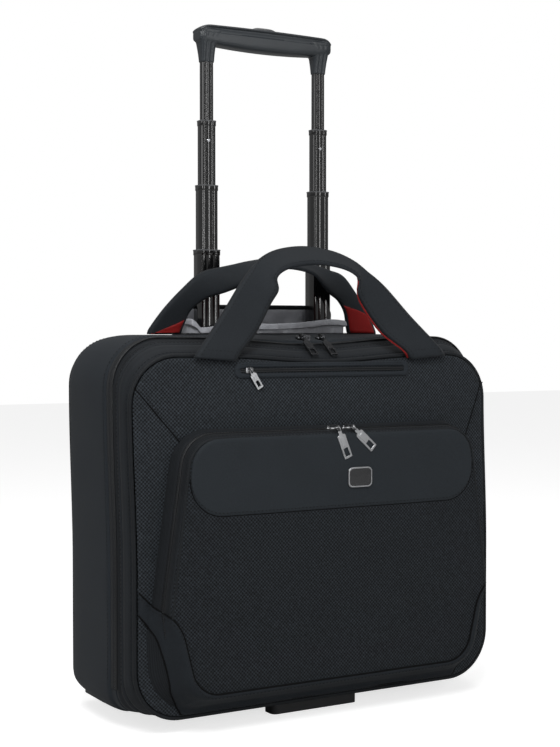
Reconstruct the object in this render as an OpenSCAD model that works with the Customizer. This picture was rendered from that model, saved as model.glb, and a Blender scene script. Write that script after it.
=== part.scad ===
// Two-wheeled soft business case with a four-stage trolley handle.
// Millimetres, +Z up. The origin is on the ground, in the middle of the case's width and depth.
// The front of the case faces -Y.

/* [Case] */
// Width over the side gussets
case_w = 420; // [400:2:440]
// Height of the case top above the ground
case_top = 375; // [365:1:390]
// Ground clearance under the fabric bottom
case_bottom = 16; // [14:1:20]
// Radius of the case's corners, seen from the front
corner_r = 48; // [40:1:55]
// Thickness of the board-stiffened fabric
wall = 3; // [2.5:0.5:3]
// Depth of the rear half, from the zip to the back
rear_depth = 117; // [112:1:125]

/* [Front lid] */
// Width of the front panel between its piping
front_w = 408; // [396:2:412]
// Height of the front panel's top edge above the ground
front_top = 357; // [350:1:360]
// Depth of the lid's gusset, from the piping to the zip
lid_depth = 31; // [26:1:34]
// Height of the fabric hinge above the ground
hinge_z = 20; // [20:1:21]

/* [Front pocket] */
// Width of the pocket where it meets the front panel
pocket_w = 356; // [340:2:360]
// Height of the pocket's top edge above the ground
pocket_top = 290; // [280:1:295]
// How far the pocket stands out of the front panel
pocket_depth = 30; // [24:1:32]
// Height at which the pocket's zip ends on each side
pocket_split = 130; // [110:1:150]

/* [Trolley handle] */
// Distance between the two tube stacks
tube_gap = 136; // [130:1:140]
// Length of the grip
grip_len = 160; // [158:1:166]
// Height of the grip's top above the ground as it stands
grip_top = 705; // [695:1:710]
// Travel of the push button
button_travel = 3; // [2:0.5:3]

/* [Carry handles] */
// Thickness of the padded strap
strap_t = 3.2; // [2.5:0.1:4]
// Thickness of the strap's lining
lining_t = 1.2; // [1:0.1:1.4]

/* [Wheels] */
// Radius of the wheels
wheel_r = 28; // [26:1:28]
// Width of the tyres
wheel_w = 22; // [18:1:22]
// Distance of each wheel's middle plane from the case's middle
wheel_x = 168; // [164:1:170]

/* [Hidden] */

$fn = 48;
eps = 0.01;       // thickness of the slices that a tapered shell is stretched between
past = 1;         // how far a cutter runs past the face it cuts
gap = 0.4;        // room between two bodies that part at a zip
charcoal = [0.17, 0.19, 0.20];
black = [0.06, 0.06, 0.07];
satin = [0.60, 0.60, 0.62];
red = [0.70, 0.02, 0.03];
steel = [0.45, 0.46, 0.48];

y_zip = -33;                           // plane of the main zip
y_piping = y_zip - lid_depth;          // plane of the front panel's back
y_front = y_piping - wall;             // front face of the front panel
y_pocket = y_front - pocket_depth;     // front face of the pocket
y_pocket_zip = y_front - 17;           // plane of the pocket's zip
y_back = y_zip + rear_depth;           // front face of the back panel
y_tube = y_back - 30;                  // middle of the trolley tubes
pull_t = 1.8;                          // thickness of a pull tab
y_pull = y_pocket - 2.8;               // middle of the pocket's pull tabs, the foremost pieces
wheel_y = pull_t / 2 - y_pull - wheel_r;

// an outline seen from the front: [width, lowest z, highest z, corner radius]
case_out = [case_w, case_bottom, case_top, corner_r];
front_out = [front_w, case_bottom, front_top, corner_r - 2];
pocket_out_back = [pocket_w, 24, pocket_top, 40];
pocket_out_face = [pocket_w - 28, 62, pocket_top - 7, 30];
pocket_wall = 2.5;

tape_w = 11;      // width of each half of a zip's tape
tape_t = 1.2;
tape_rest = 0.1;  // gap under the front half of the tape

// trolley: outer size of the tubes from the grip down, and the height of each stage's top
tube_w = [13, 16.5, 20, 23.5, 27];
tube_d = [9, 12, 14.5, 17, 20];
tube_wall = 1.2;
tube_r = 3.4;
collar_h = 6;
collar_top = [0, 600, 533, 466];
bezel_low = 308;
bezel_top = 312;
tube_foot = 32;                        // lowest point of stage 4 when it is pushed in
stage_foot = [371, 307.4, 242.7, 179.7];
rest_gap = 0.3;
grip_d = 24;
grip_mid = grip_top - 9;               // plane where the two grip shells meet
grip_low = grip_top - 21;
bracket_low = grip_top - 45;
button_w = 32;
rod_r = 1.6;

well_w = 190;
well_front = y_tube - 17;
well_back = y_tube + 19;
well_skin = 1.5;

function mix(a, b, k) = a + k * (b - a);
function inset(o, t) = [o[0] - 2 * t, o[1] + t, o[2] - t, o[3] - t];
function lid_out(y) = mix(front_out, case_out, (y - y_piping) / lid_depth);
function pocket_out(y) = mix(pocket_out_back, pocket_out_face, (y_front - y) / pocket_depth);

module rounded(w, low, high, r) {
    translate([-w / 2 + r, low]) square([w - 2 * r, high - low]);
    translate([-w / 2, low + r]) square([w, high - low - 2 * r]);
    for (x = [-w / 2 + r, w / 2 - r], z = [low + r, high - r]) translate([x, z]) circle(r);
}

// a plate with outline o between the planes y0 and y1
module slab(o, y0, y1) {
    translate([0, y1, 0]) rotate([90, 0, 0]) linear_extrude(y1 - y0) rounded(o[0], o[1], o[2], o[3]);
}

// a solid that changes from outline o0 at y0 to o1 at y1
module taper(o0, y0, o1, y1) {
    hull() {
        slab(o0, y0, y0 + eps, $fn = 32);
        slab(o1, y1 - eps, y1, $fn = 32);
    }
}

// everything between two heights, as wide and deep as the case
module layer(z0, z1) {
    translate([-case_w, -case_w, z0]) cube([2 * case_w, 2 * case_w, z1 - z0]);
}

module lid_shell(y0, y1, out, thick) {
    difference() {
        taper(inset(lid_out(y0), -out), y0, inset(lid_out(y1), -out), y1);
        taper(inset(lid_out(y0 - past), thick - out), y0 - past,
            inset(lid_out(y1 + past), thick - out), y1 + past);
    }
}

module pocket_shell() {
    difference() {
        taper(pocket_out_face, y_pocket, pocket_out_back, y_front);
        taper(inset(pocket_out(y_pocket + pocket_wall), pocket_wall), y_pocket + pocket_wall,
            inset(pocket_out(y_front + past), pocket_wall), y_front + past);
    }
}

module box(x0, x1, y0, y1, z0, z1) {
    translate([x0, y0, z0]) cube([x1 - x0, y1 - y0, z1 - z0]);
}

// an upright bar with rounded edges, centred on x and y
module pillar(w, d, r, z0, z1) {
    translate([0, 0, z0]) linear_extrude(z1 - z0) {
        square([w - 2 * r, d], center = true);
        square([w, d - 2 * r], center = true);
        for (x = [-w / 2 + r, w / 2 - r], y = [-d / 2 + r, d / 2 - r]) translate([x, y]) circle(r);
    }
}

module at_tubes() {
    for (side = [-1, 1]) translate([side * tube_gap / 2, y_tube, 0]) children();
}

module at_wheels() {
    for (side = [-1, 1]) translate([side * wheel_x, wheel_y, wheel_r]) rotate([0, 90, 0]) children();
}

// ---- case ----

housing_w = 44;
housing_front = 44;
housing_top = 66;

module housing_blocks(y1) {
    for (side = [-1, 1]) {
        x = side * wheel_x;
        box(x - housing_w / 2, x + housing_w / 2, housing_front, y1, 9, housing_top);
    }
}

module rear_gusset() {
    color(charcoal) difference() {
        slab(case_out, y_zip + gap / 2, y_back);
        slab(inset(case_out, wall), y_zip - past, y_back + past);
        box(-well_w / 2, well_w / 2, well_front, well_back, case_top - 10, case_top + past);
        housing_blocks(y_back + past);
    }
}

module back_panel() {
    color(charcoal) difference() {
        slab(case_out, y_back, y_back + wall);
        housing_blocks(y_back + 10);
    }
}

module bottom_sill() {
    color(charcoal) intersection() {
        union() {
            lid_shell(y_piping, y_zip + gap / 2, 0, wall);
            slab(front_out, y_front, y_piping);
        }
        layer(0, hinge_z - 0.3);
    }
}

module bottom_chassis() {
    color(black) box(-140, 140, -25, y_back, case_bottom + wall, case_bottom + wall + 4);
}

module wheel_housings() {
    color(black) difference() {
        intersection() {
            housing_blocks(y_back + 8);
            rotate([0, 90, 0]) translate([0, 0, -case_w / 2]) linear_extrude(case_w) {
                translate([-housing_top, housing_front]) square([housing_top - 20, 30]);
                translate([-housing_top + 22, housing_front]) square([housing_top - 31, 60]);
                translate([-housing_top + 22, y_back - 14]) circle(22);
            }
        }
        at_wheels() cylinder(r = wheel_r + 3.5, h = wheel_w + 6, center = true);
        at_wheels() cylinder(r = 4, h = housing_w + 2 * past, center = true);
    }
}

module wheel_axles() {
    color(steel) at_wheels() cylinder(r = 4, h = housing_w - 2, center = true);
}

module front_foot() {
    color(black) difference() {
        translate([0, y_zip - 10, 0]) pillar(100, 20, 6, 0, case_bottom);
        for (x = [-30, 30]) translate([x, y_zip - 10, -past]) cylinder(r = 4, h = past + 3);
    }
}

module base_screws() {
    color(steel) for (x = [-120, -40, 40, 120]) translate([x, 20, case_bottom - 1.6]) {
        cylinder(r = 4, h = 1.6);
    }
}

module outer_tubes() {
    color(steel) at_tubes() tube(4, case_bottom + wall + 9, bezel_low);
}

module tube_base_bracket() {
    color(black) difference() {
        box(-86, 86, y_tube - 13, y_tube + 13, case_bottom + wall + 4, case_bottom + wall + 19);
        at_tubes() pillar(tube_w[4], tube_d[4], tube_r, case_bottom + wall + 9, case_bottom + wall + 20);
        box(-50, 50, y_tube - 20, y_tube + 20, case_bottom + wall + 9, case_bottom + wall + 20);
    }
}

module well_bezel() {
    color(black) difference() {
        box(-well_w / 2 - 3, well_w / 2 + 3, well_front - 3, well_back + 3, bezel_low, bezel_top);
        at_tubes() pillar(tube_w[3] + 1, tube_d[3] + 1, tube_r, bezel_low - past, bezel_top + past);
    }
}

module well_lining() {
    color(satin) difference() {
        box(-well_w / 2 - 3, well_w / 2 + 3, well_front - 3, well_back + 3, bezel_top, case_top - wall);
        box(-well_w / 2 - 3 + well_skin, well_w / 2 + 3 - well_skin, well_front - 3 + well_skin,
            well_back + 3 - well_skin, bezel_top - past, case_top);
    }
}

module well_zip_tape() {
    color(black) difference() {
        box(-well_w / 2 - 5, well_w / 2 + 5, well_front - 5, well_back, case_top, case_top + tape_t);
        box(-well_w / 2, well_w / 2, well_front, well_back + past, case_top - past, case_top + 5);
    }
}

module tube_cover() {
    color(satin) box(-190, 190, y_tube - 15, y_tube - 13, 70, bezel_low);
}

sleeve_front = 10;

module laptop_sleeve() {
    color(charcoal) difference() {
        box(-175, 175, sleeve_front, y_tube - 15, 72, 300);
        box(-171, 171, sleeve_front + 6, y_tube, 76, 301);
    }
}

module zip_tape_rear() {
    color(black) difference() {
        slab(inset(case_out, -tape_t), y_zip + gap / 2, y_zip + tape_w);
        slab(case_out, y_zip - past, y_zip + tape_w + past);
        layer(0, 40);
    }
}

// ---- cover of the handle well ----

flap_y = well_back + 2;
flap_z = case_top + 2;
flap_h = 31;
flap_lean = 8;

module on_flap() {
    translate([0, flap_y, flap_z]) rotate([flap_lean, 0, 0]) children();
}

module well_cover_flap() {
    color(charcoal) on_flap() slab([well_w, 0, flap_h, 9], -1, 1);
}

module well_cover_lining() {
    color(satin) on_flap() slab([well_w - 8, 1, flap_h - 4, 6], -2, -1);
}

// ---- straps: each section is [outer edge, inner edge], from the left foot to the middle ----

front_half = [
    [[-147, -71.5, 357], [-101, -71.5, 353]],
    [[-141, -71.5, 365], [-96, -71.5, 361]],
    [[-112, -59, 398], [-75, -61, 382]],
    [[-84, -47, 430], [-56, -52, 410]],
    [[-62, -37, 449], [-46, -53, 431]],
    [[-40, -29, 460], [-36, -56, 441]],
    [[0, -27, 466], [0, -57, 447]]];
rear_half = [
    [[-140, 47, 378], [-101.5, 47, 378]],
    [[-112, 41, 404], [-82, 40, 392]],
    [[-86, 36, 430], [-62, 32, 412]],
    [[-66, 33, 444], [-48, 22, 425]],
    [[-40, 31, 453], [-34, 9, 436]],
    [[0, 30, 460], [0, 2, 445]]];

function flip(p) = [-p[0], p[1], p[2]];
function whole(half) = concat(half, [for (i = [len(half) - 2:-1:0]) [flip(half[i][0]), flip(half[i][1])]]);
function middle(s) = (s[0] + s[1]) / 2;
function unit(v) = v / norm(v);
function outward(list, i) = unit(cross(
    middle(list[min(i + 1, len(list) - 1)]) - middle(list[max(i - 1, 0)]), list[i][0] - list[i][1]));

// a flat strap between t0 and t1 from the line of its sections, on the side that faces out;
// its two broad faces are split along the same diagonals, so that it has one thickness where it twists
module strap(half, t0, t1) {
    list = whole(half);
    n = len(list);
    points = [for (i = [0:n - 1]) let (o = outward(list, i))
        each [list[i][0] + t0 * o, list[i][0] + t1 * o, list[i][1] + t1 * o, list[i][1] + t0 * o]];
    sides = [for (i = [0:n - 2], k = [0:3]) let (a = 4 * i + k, b = 4 * i + (k + 1) % 4)
        each k == 1 ? [[a, b, a + 4], [b, b + 4, a + 4]] : [[a, b, b + 4], [a, b + 4, a + 4]]];
    ends = [[2, 1, 0], [3, 2, 0], [4 * n - 4, 4 * n - 3, 4 * n - 2], [4 * n - 4, 4 * n - 2, 4 * n - 1]];
    polyhedron(points, concat(sides, ends));
}

module front_handle_strap() {
    color(charcoal) strap(front_half, 0, strap_t);
}

module front_handle_lining() {
    color(red) strap(front_half, -lining_t, 0);
}

module rear_handle_strap() {
    color(charcoal) strap(rear_half, 0, strap_t);
}

module rear_handle_lining() {
    color(red) strap(rear_half, -lining_t, 0);
}

// ---- front lid ----

module lid_gusset() {
    color(charcoal) difference() {
        lid_shell(y_piping, y_zip - gap / 2, 0, wall);
        layer(0, hinge_z + 0.3);
    }
}

slip_z = 343;
slip_x0 = -97;
slip_x1 = 103;

module front_panel() {
    color(charcoal) difference() {
        slab(front_out, y_front, y_piping);
        layer(0, hinge_z + 0.3);
        box(slip_x0 + 6, slip_x1 - 6, y_front - past, y_piping + past, slip_z - 1.5, slip_z + 1.5);
    }
}

module front_piping() {
    color(black) difference() {
        slab(inset(front_out, -3), y_front - 0.6, y_piping);
        slab(front_out, y_front - past, y_piping + past);
        layer(0, hinge_z + 0.3);
    }
}

module zip_tape_front() {
    color(black) difference() {
        lid_shell(y_zip - tape_w, y_zip - gap / 2, tape_t + tape_rest, tape_t);
        layer(0, 40);
    }
}

module pocket_gusset() {
    color(charcoal) intersection() {
        pocket_shell();
        box(-case_w / 2, case_w / 2, y_pocket_zip + gap / 2, y_front + past,
            pocket_split + gap, pocket_top + past);
    }
}

module pocket_base() {
    color(charcoal) intersection() {
        pocket_shell();
        layer(0, pocket_split);
    }
}

module slip_pocket_zip() {
    color(black) difference() {
        slab([slip_x1 - slip_x0, slip_z - 5, slip_z + 5, 4], y_front - 1, y_front);
        slab([slip_x1 - slip_x0 - 12, slip_z - 1.5, slip_z + 1.5, 1], y_front - 2, y_front + past);
    }
}

// ---- front pocket ----

module pocket_panel() {
    color(charcoal) intersection() {
        pocket_shell();
        box(-case_w / 2, case_w / 2, y_pocket - past, y_pocket_zip - gap / 2,
            pocket_split + gap, pocket_top + past);
    }
}

module pocket_badge() {
    color(black) translate([22, 0, 0]) slab([27, 228, 247, 5], y_pocket - 1.6, y_pocket);
}

// ---- zip sliders and pull tabs ----

pin_r = 1.4;
pin_z = 3;                             // height of the crown's pin over the slider's base
neck_start = 4.2;                      // distance from the pin's middle to the neck of a pull tab
neck = 2.8;                            // length of the neck

// a slider that runs along X, on a base at z = 0, its crown reaching towards -Y
module slider(reach) {
    pillar(11, 8, 2, 0, 2.6);
    box(-1.6, 1.6, -reach, 3, 2.6, 4.4);
    translate([0, -reach, pin_z]) rotate([0, 90, 0]) cylinder(r = pin_r, h = 8, center = true);
}

// a flat pull tab with a neck and an open end, hanging from z = 0 towards -Z
module pull(length) {
    translate([0, pull_t / 2, -neck_start - neck]) rotate([90, 0, 0]) linear_extrude(pull_t) difference() {
        union() {
            translate([0, neck / 2]) square([3, neck + past], center = true);
            translate([0, -length / 2]) square([8, length], center = true);
        }
        translate([0, -length + 6]) square([4.6, 7], center = true);
    }
}

main_x = [-6, 17];
main_z = case_top + tape_t + gap;
main_reach = 5;
lid_slope = atan2(case_top - front_top, lid_depth);
main_tilt = lid_slope / 2;
main_pull_drop = lid_slope + 6;        // slope of the main pull tabs as they lie on the lid
main_pin_y = y_zip - main_reach * cos(main_tilt) - pin_z * sin(main_tilt);
main_pin_z = main_z - main_reach * sin(main_tilt) + pin_z * cos(main_tilt);
pocket_x = [-3, 15];
pocket_z = pocket_top - 2.2;
pocket_reach = 14.5;
pocket_tilt = [-22, -48];
slip_slider_x = -86;
slip_tilt = -32;
slip_slider_y = y_front - 1 - gap;

module main_slider_at(i) {
    translate([main_x[i], y_zip, main_z]) rotate([main_tilt, 0, 0]) slider(main_reach);
}

module main_pull_at(i) {
    translate([main_x[i], main_pin_y, main_pin_z]) rotate([-90 + main_pull_drop, 0, 0]) pull(24);
}

module main_slider_left() {
    color(steel) main_slider_at(0);
}

module main_slider_right() {
    color(steel) main_slider_at(1);
}

module main_pull_left() {
    color(steel) main_pull_at(0);
}

module main_pull_right() {
    color(steel) main_pull_at(1);
}

module pocket_slider_at(i) {
    translate([pocket_x[i], y_pocket_zip, pocket_z]) slider(pocket_reach);
}

module pocket_pull_at(i) {
    translate([pocket_x[i], y_pull, pocket_z + 2.2]) rotate([0, pocket_tilt[i], 0]) pull(31);
}

module pocket_slider_left() {
    color(steel) pocket_slider_at(0);
}

module pocket_slider_right() {
    color(steel) pocket_slider_at(1);
}

module pocket_pull_left() {
    color(steel) pocket_pull_at(0);
}

module pocket_pull_right() {
    color(steel) pocket_pull_at(1);
}

module slip_slider() {
    color(steel) translate([slip_slider_x, slip_slider_y, slip_z]) rotate([90, 0, 0]) {
        pillar(9, 6, 2, 0, 2);
        translate([0, 0, 2]) cylinder(r = 1.6, h = 1.4);
    }
}

module slip_pull() {
    color(steel) translate([slip_slider_x, slip_slider_y - 4.8, slip_z]) rotate([0, slip_tilt, 0]) {
        pull(17);
    }
}

// ---- trolley handle ----

module tube(i, z0, z1) {
    difference() {
        pillar(tube_w[i], tube_d[i], tube_r - 0.4 * (4 - i), z0, z1);
        pillar(tube_w[i] - 2 * tube_wall, tube_d[i] - 2 * tube_wall, max(tube_r - 0.4 * (4 - i) - tube_wall, 0.6),
            z0 - past, z1 + past);
    }
}

module collar(i) {
    difference() {
        pillar(tube_w[i] + 2, tube_d[i] + 2, tube_r, collar_top[i] - collar_h, collar_top[i]);
        pillar(tube_w[i - 1] + 2 * rest_gap, tube_d[i - 1] + 2 * rest_gap, tube_r - 0.4 * (5 - i),
            collar_top[i] - collar_h - past, collar_top[i] + past);
    }
}

module stage(i) {
    color(black) at_tubes() tube(i, stage_foot[i], collar_top[i] - collar_h);
}

module stage_collars(i) {
    color(steel) at_tubes() collar(i);
}

module stage_4_tubes() { stage(3); }

module stage_4_collars() { stage_collars(3); }

module stage_3_tubes() { stage(2); }

module stage_3_collars() { stage_collars(2); }

module pin_holes(r) {
    at_tubes() translate([0, -tube_d[1] / 2 + tube_wall + 0.2, 579]) rotate([90, 0, 0]) {
        cylinder(r = r, h = tube_wall + 0.2);
    }
}

module stage_2_tubes() {
    difference() {
        stage(1);
        at_tubes() translate([0, 0, 579]) rotate([90, 0, 0]) cylinder(r = 2.5, h = tube_d[1]);
    }
}

module stage_2_collars() { stage_collars(1); }

module lock_pins() {
    color(steel) pin_holes(2.45);
}

module stage_1_tubes() {
    color(black) at_tubes() tube(0, stage_foot[0], grip_low);
}

module grip_block(w, z0, z1, t) {
    translate([0, y_tube, 0]) pillar(w - 2 * t, grip_d - 2 * t, 5 - t / 2, z0, z1);
}

module grip_lower() {
    color(black) difference() {
        union() {
            grip_block(grip_len, grip_low, grip_mid, 0);
            at_tubes() pillar(24, grip_d - 2, 5, bracket_low, grip_low);
        }
        grip_block(grip_len, grip_low + 3, grip_mid + past, 2.5);
        at_tubes() pillar(tube_w[0] + 0.1, tube_d[0] + 0.1, tube_r - 1.6, bracket_low - past, grip_low + past);
        at_tubes() cylinder(r = rod_r + 0.6, h = grip_top);
        for (x = [-45, 45]) translate([x, y_tube, grip_low - past]) cylinder(r = 1.5, h = 5);
    }
}

module grip_upper() {
    color(black) difference() {
        grip_block(grip_len, grip_mid, grip_top, 0);
        grip_block(grip_len, grip_mid - past, grip_top - 2.5, 2.5);
        translate([0, y_tube, 0]) pillar(button_w + 0.8, 12.8, 5, grip_mid, grip_top + past);
    }
}

module grip_screws() {
    color(steel) for (x = [-45, 45]) translate([x, y_tube, grip_low - 1]) {
        cylinder(r = 2.8, h = 1);
        cylinder(r = 1.45, h = 4);
    }
}

yoke_z = grip_low + 7;

module push_button() {
    color(black) translate([0, y_tube, 0]) {
        pillar(button_w, 12, 4.6, grip_mid, grip_top + 3.4);
        pillar(10, 8, 2, yoke_z + 3, grip_mid);
    }
}

module release_rods() {
    color(steel) {
        translate([0, y_tube, 0]) pillar(tube_gap + 8, 8, 2, yoke_z, yoke_z + 3);
        at_tubes() translate([0, 0, stage_foot[0] + 8]) cylinder(r = rod_r, h = yoke_z - stage_foot[0] - 8);
    }
}

module button_spring() {
    color(steel) translate([0, y_tube, grip_low + 3]) difference() {
        cylinder(r = 4, h = yoke_z - grip_low - 3);
        translate([0, 0, -past]) cylinder(r = 3, h = 10);
    }
}

// ---- wheels ----

hub_r = wheel_r - 7;

module tyre(side) {
    color(black) translate([side * wheel_x, wheel_y, wheel_r]) rotate([0, 90, 0]) difference() {
        rotate_extrude() {
            translate([hub_r, -wheel_w / 2 + 4]) square([7, wheel_w - 8]);
            translate([hub_r, -wheel_w / 2]) square([3, wheel_w]);
            for (z = [-1, 1]) translate([wheel_r - 4, z * (wheel_w / 2 - 4)]) circle(4);
        }
        cylinder(r = hub_r, h = wheel_w + 2 * past, center = true);
    }
}

module hub(side) {
    color(steel) translate([side * wheel_x, wheel_y, wheel_r]) rotate([0, 90, 0]) difference() {
        union() {
            cylinder(r = hub_r, h = wheel_w - 6, center = true);
            cylinder(r = 8, h = wheel_w + 4, center = true);
        }
        cylinder(r = 4.05, h = wheel_w + 10, center = true);
    }
}

module tyre_left() { tyre(-1); }

module hub_left() { hub(-1); }

module tyre_right() { tyre(1); }

module hub_right() { hub(1); }

rear_gusset();
back_panel();
bottom_sill();
bottom_chassis();
wheel_housings();
wheel_axles();
front_foot();
base_screws();
outer_tubes();
tube_base_bracket();
well_bezel();
well_lining();
well_zip_tape();
tube_cover();
laptop_sleeve();
zip_tape_rear();
well_cover_flap();
well_cover_lining();
rear_handle_strap();
rear_handle_lining();
lid_gusset();
front_panel();
front_piping();
zip_tape_front();
pocket_gusset();
pocket_base();
slip_pocket_zip();
front_handle_strap();
front_handle_lining();
pocket_panel();
pocket_badge();
main_slider_left();
main_pull_left();
main_slider_right();
main_pull_right();
pocket_slider_left();
pocket_pull_left();
pocket_slider_right();
pocket_pull_right();
slip_slider();
slip_pull();
stage_4_tubes();
stage_4_collars();
stage_3_tubes();
stage_3_collars();
stage_2_tubes();
stage_2_collars();
lock_pins();
stage_1_tubes();
grip_lower();
grip_upper();
grip_screws();
push_button();
release_rods();
button_spring();
tyre_left();
hub_left();
tyre_right();
hub_right();
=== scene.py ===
import math

import bmesh
import bpy
import numpy as np
from mathutils import Euler, Matrix, Vector, noise
from mathutils.bvhtree import BVHTree
from mathutils.geometry import delaunay_2d_cdt


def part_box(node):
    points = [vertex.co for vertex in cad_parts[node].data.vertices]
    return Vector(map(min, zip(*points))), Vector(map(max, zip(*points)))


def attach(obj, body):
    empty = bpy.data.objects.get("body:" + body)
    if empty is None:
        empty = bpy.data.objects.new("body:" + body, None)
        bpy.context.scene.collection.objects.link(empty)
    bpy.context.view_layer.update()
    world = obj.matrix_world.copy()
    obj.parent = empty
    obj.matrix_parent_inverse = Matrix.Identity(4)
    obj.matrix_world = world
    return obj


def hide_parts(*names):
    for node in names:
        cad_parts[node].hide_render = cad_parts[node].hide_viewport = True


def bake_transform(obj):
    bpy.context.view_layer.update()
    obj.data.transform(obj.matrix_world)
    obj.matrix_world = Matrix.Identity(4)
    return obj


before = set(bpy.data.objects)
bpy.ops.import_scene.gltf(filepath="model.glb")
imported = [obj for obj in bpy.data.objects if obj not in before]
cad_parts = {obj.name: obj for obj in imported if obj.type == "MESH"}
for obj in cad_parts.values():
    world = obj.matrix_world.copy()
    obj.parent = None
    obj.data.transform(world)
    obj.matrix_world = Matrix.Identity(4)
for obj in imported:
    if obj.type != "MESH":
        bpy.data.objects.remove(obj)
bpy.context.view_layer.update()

MM = 0.001

# ---------------------------------------------------------------- places, from the frame

gusset_low, gusset_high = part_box("rear_gusset")
panel_low, panel_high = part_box("front_panel")
pocket_low, pocket_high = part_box("pocket_panel")
back_low, back_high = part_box("back_panel")
bezel_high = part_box("well_bezel")[1]
tape_low, tape_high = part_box("well_zip_tape")
grip_low, grip_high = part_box("grip_lower")
top_low, top_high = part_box("grip_upper")
slip_low, slip_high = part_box("slip_pocket_zip")

CASE_HALF = gusset_high.x                      # half of the case's width
CASE_LOW, CASE_TOP = gusset_low.z, gusset_high.z
Y_ZIP = gusset_low.y - 0.2 * MM                # plane of the main zip
Y_FRONT, Y_PIPING = panel_low.y, panel_high.y  # front panel's two faces
Y_BACK = back_low.y
Y_REAR = back_high.y
FRONT_HALF, FRONT_TOP = panel_high.x, panel_high.z
CORNER = 48 * MM
Y_POCKET = pocket_low.y                        # front of the pocket
Y_POCKET_ZIP = pocket_high.y + 0.2 * MM
Y_TUBE = (grip_low.y + grip_high.y) / 2
TUBE_X = 68 * MM                               # half of the tubes' spacing
HOUSING_IN = 146 * MM                          # inner side of a wheel housing
WELL_HALF = tape_high.x - 5 * MM
WELL_FRONT, WELL_BACK = tape_low.y + 5 * MM, tape_high.y
COVER_HINGE_Y = 75 * MM                        # hinge of the handle well's cover
COVER_TALL, COVER_LEAN = 31 * MM, math.radians(8)


# ---------------------------------------------------------------- small maths

def scaled(corners):
    """corners (x, y, radius) from millimetres to metres"""
    return [tuple(v * MM for v in c) for c in corners]


def smooth(x, a, b):
    """0 below a, 1 above b, smooth between"""
    t = np.clip((x - a) / (b - a), 0, 1)
    return t * t * (3 - 2 * t)


def bell(x, middle, width):
    return np.exp(-(((x - middle) / width) ** 2))


def lengths(line):
    """distance along a polyline at each of its points"""
    steps = np.linalg.norm(np.diff(line, axis=0), axis=1)
    return np.concatenate([[0], np.cumsum(steps)])


def resample(line, count, closed=False):
    """a polyline again, with count evenly spaced points"""
    line = np.asarray(line, float)
    if closed:
        line = np.vstack([line, line[:1]])
    along = lengths(line)
    at = np.linspace(0, along[-1], count + 1)[:-1] if closed else np.linspace(0, along[-1], count)
    return np.stack([np.interp(at, along, line[:, k]) for k in range(line.shape[1])], axis=1)


def filleted(corners, closed=True, steps=10):
    """a polyline through corners given as (x, z, radius), its corners rounded"""
    points = [np.array(c[:2], float) for c in corners]
    line = []
    for i, c in enumerate(corners):
        radius = c[2] if len(c) > 2 else 0
        if radius == 0 or (not closed and i in (0, len(corners) - 1)):
            line.append(points[i])
            continue
        here = points[i]
        back = points[i - 1] - here
        ahead = points[(i + 1) % len(points)] - here
        back, ahead = back / np.linalg.norm(back), ahead / np.linalg.norm(ahead)
        half = math.acos(float(np.clip(back @ ahead, -1, 1))) / 2
        reach = radius / math.tan(half)
        middle = here + (back + ahead) / np.linalg.norm(back + ahead) * (radius / math.sin(half))
        start, end = here + back * reach - middle, here + ahead * reach - middle
        turn = math.atan2(start[0] * end[1] - start[1] * end[0], float(start @ end))
        for t in np.linspace(0, turn, steps):
            c_t, s_t = math.cos(t), math.sin(t)
            line.append(middle + [start[0] * c_t - start[1] * s_t, start[0] * s_t + start[1] * c_t])
    return np.array(line)


def box_line(x0, x1, z0, z1, radius):
    """a closed box outline with round corners"""
    return filleted([(x0, z0, radius), (x0, z1, radius), (x1, z1, radius), (x1, z0, radius)], True, 8)


def catmull(points, count):
    """a smooth curve through the points, with count evenly spaced points"""
    p = np.asarray(points, float)
    p = np.vstack([2 * p[0] - p[1], p, 2 * p[-1] - p[-2]])
    line = []
    for i in range(1, len(p) - 2):
        for t in np.linspace(0, 1, 16, endpoint=False):
            line.append(0.5 * (2 * p[i] + (p[i + 1] - p[i - 1]) * t
                               + (2 * p[i - 1] - 5 * p[i] + 4 * p[i + 1] - p[i + 2]) * t * t
                               + (3 * p[i] - p[i - 1] - 3 * p[i + 1] + p[i + 2]) * t ** 3))
    line.append(p[-2])
    return resample(np.array(line), count)


def wander(points, size, strength, seed=0.0):
    """smooth noise at each point"""
    return np.array([noise.noise(Vector(p) / size + Vector((seed, 1.7 * seed, 0.3)))
                     for p in points]) * strength


# ---------------------------------------------------------------- meshes

def mesh_object(name, verts, faces, material, uv=None, flat=False):
    mesh = bpy.data.meshes.new(name)
    mesh.from_pydata([tuple(map(float, v)) for v in verts], [], [tuple(map(int, f)) for f in faces])
    mesh.validate()
    if not flat:
        mesh.polygons.foreach_set("use_smooth", [True] * len(mesh.polygons))
    if uv is not None and len(uv) == len(mesh.loops):
        layer = mesh.uv_layers.new(name="weave")
        layer.data.foreach_set("uv", np.asarray(uv, np.float32).ravel())
    obj = bpy.data.objects.new(name, mesh)
    bpy.context.scene.collection.objects.link(obj)
    for m in material if isinstance(material, (list, tuple)) else [material]:
        mesh.materials.append(m)
    return obj


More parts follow.
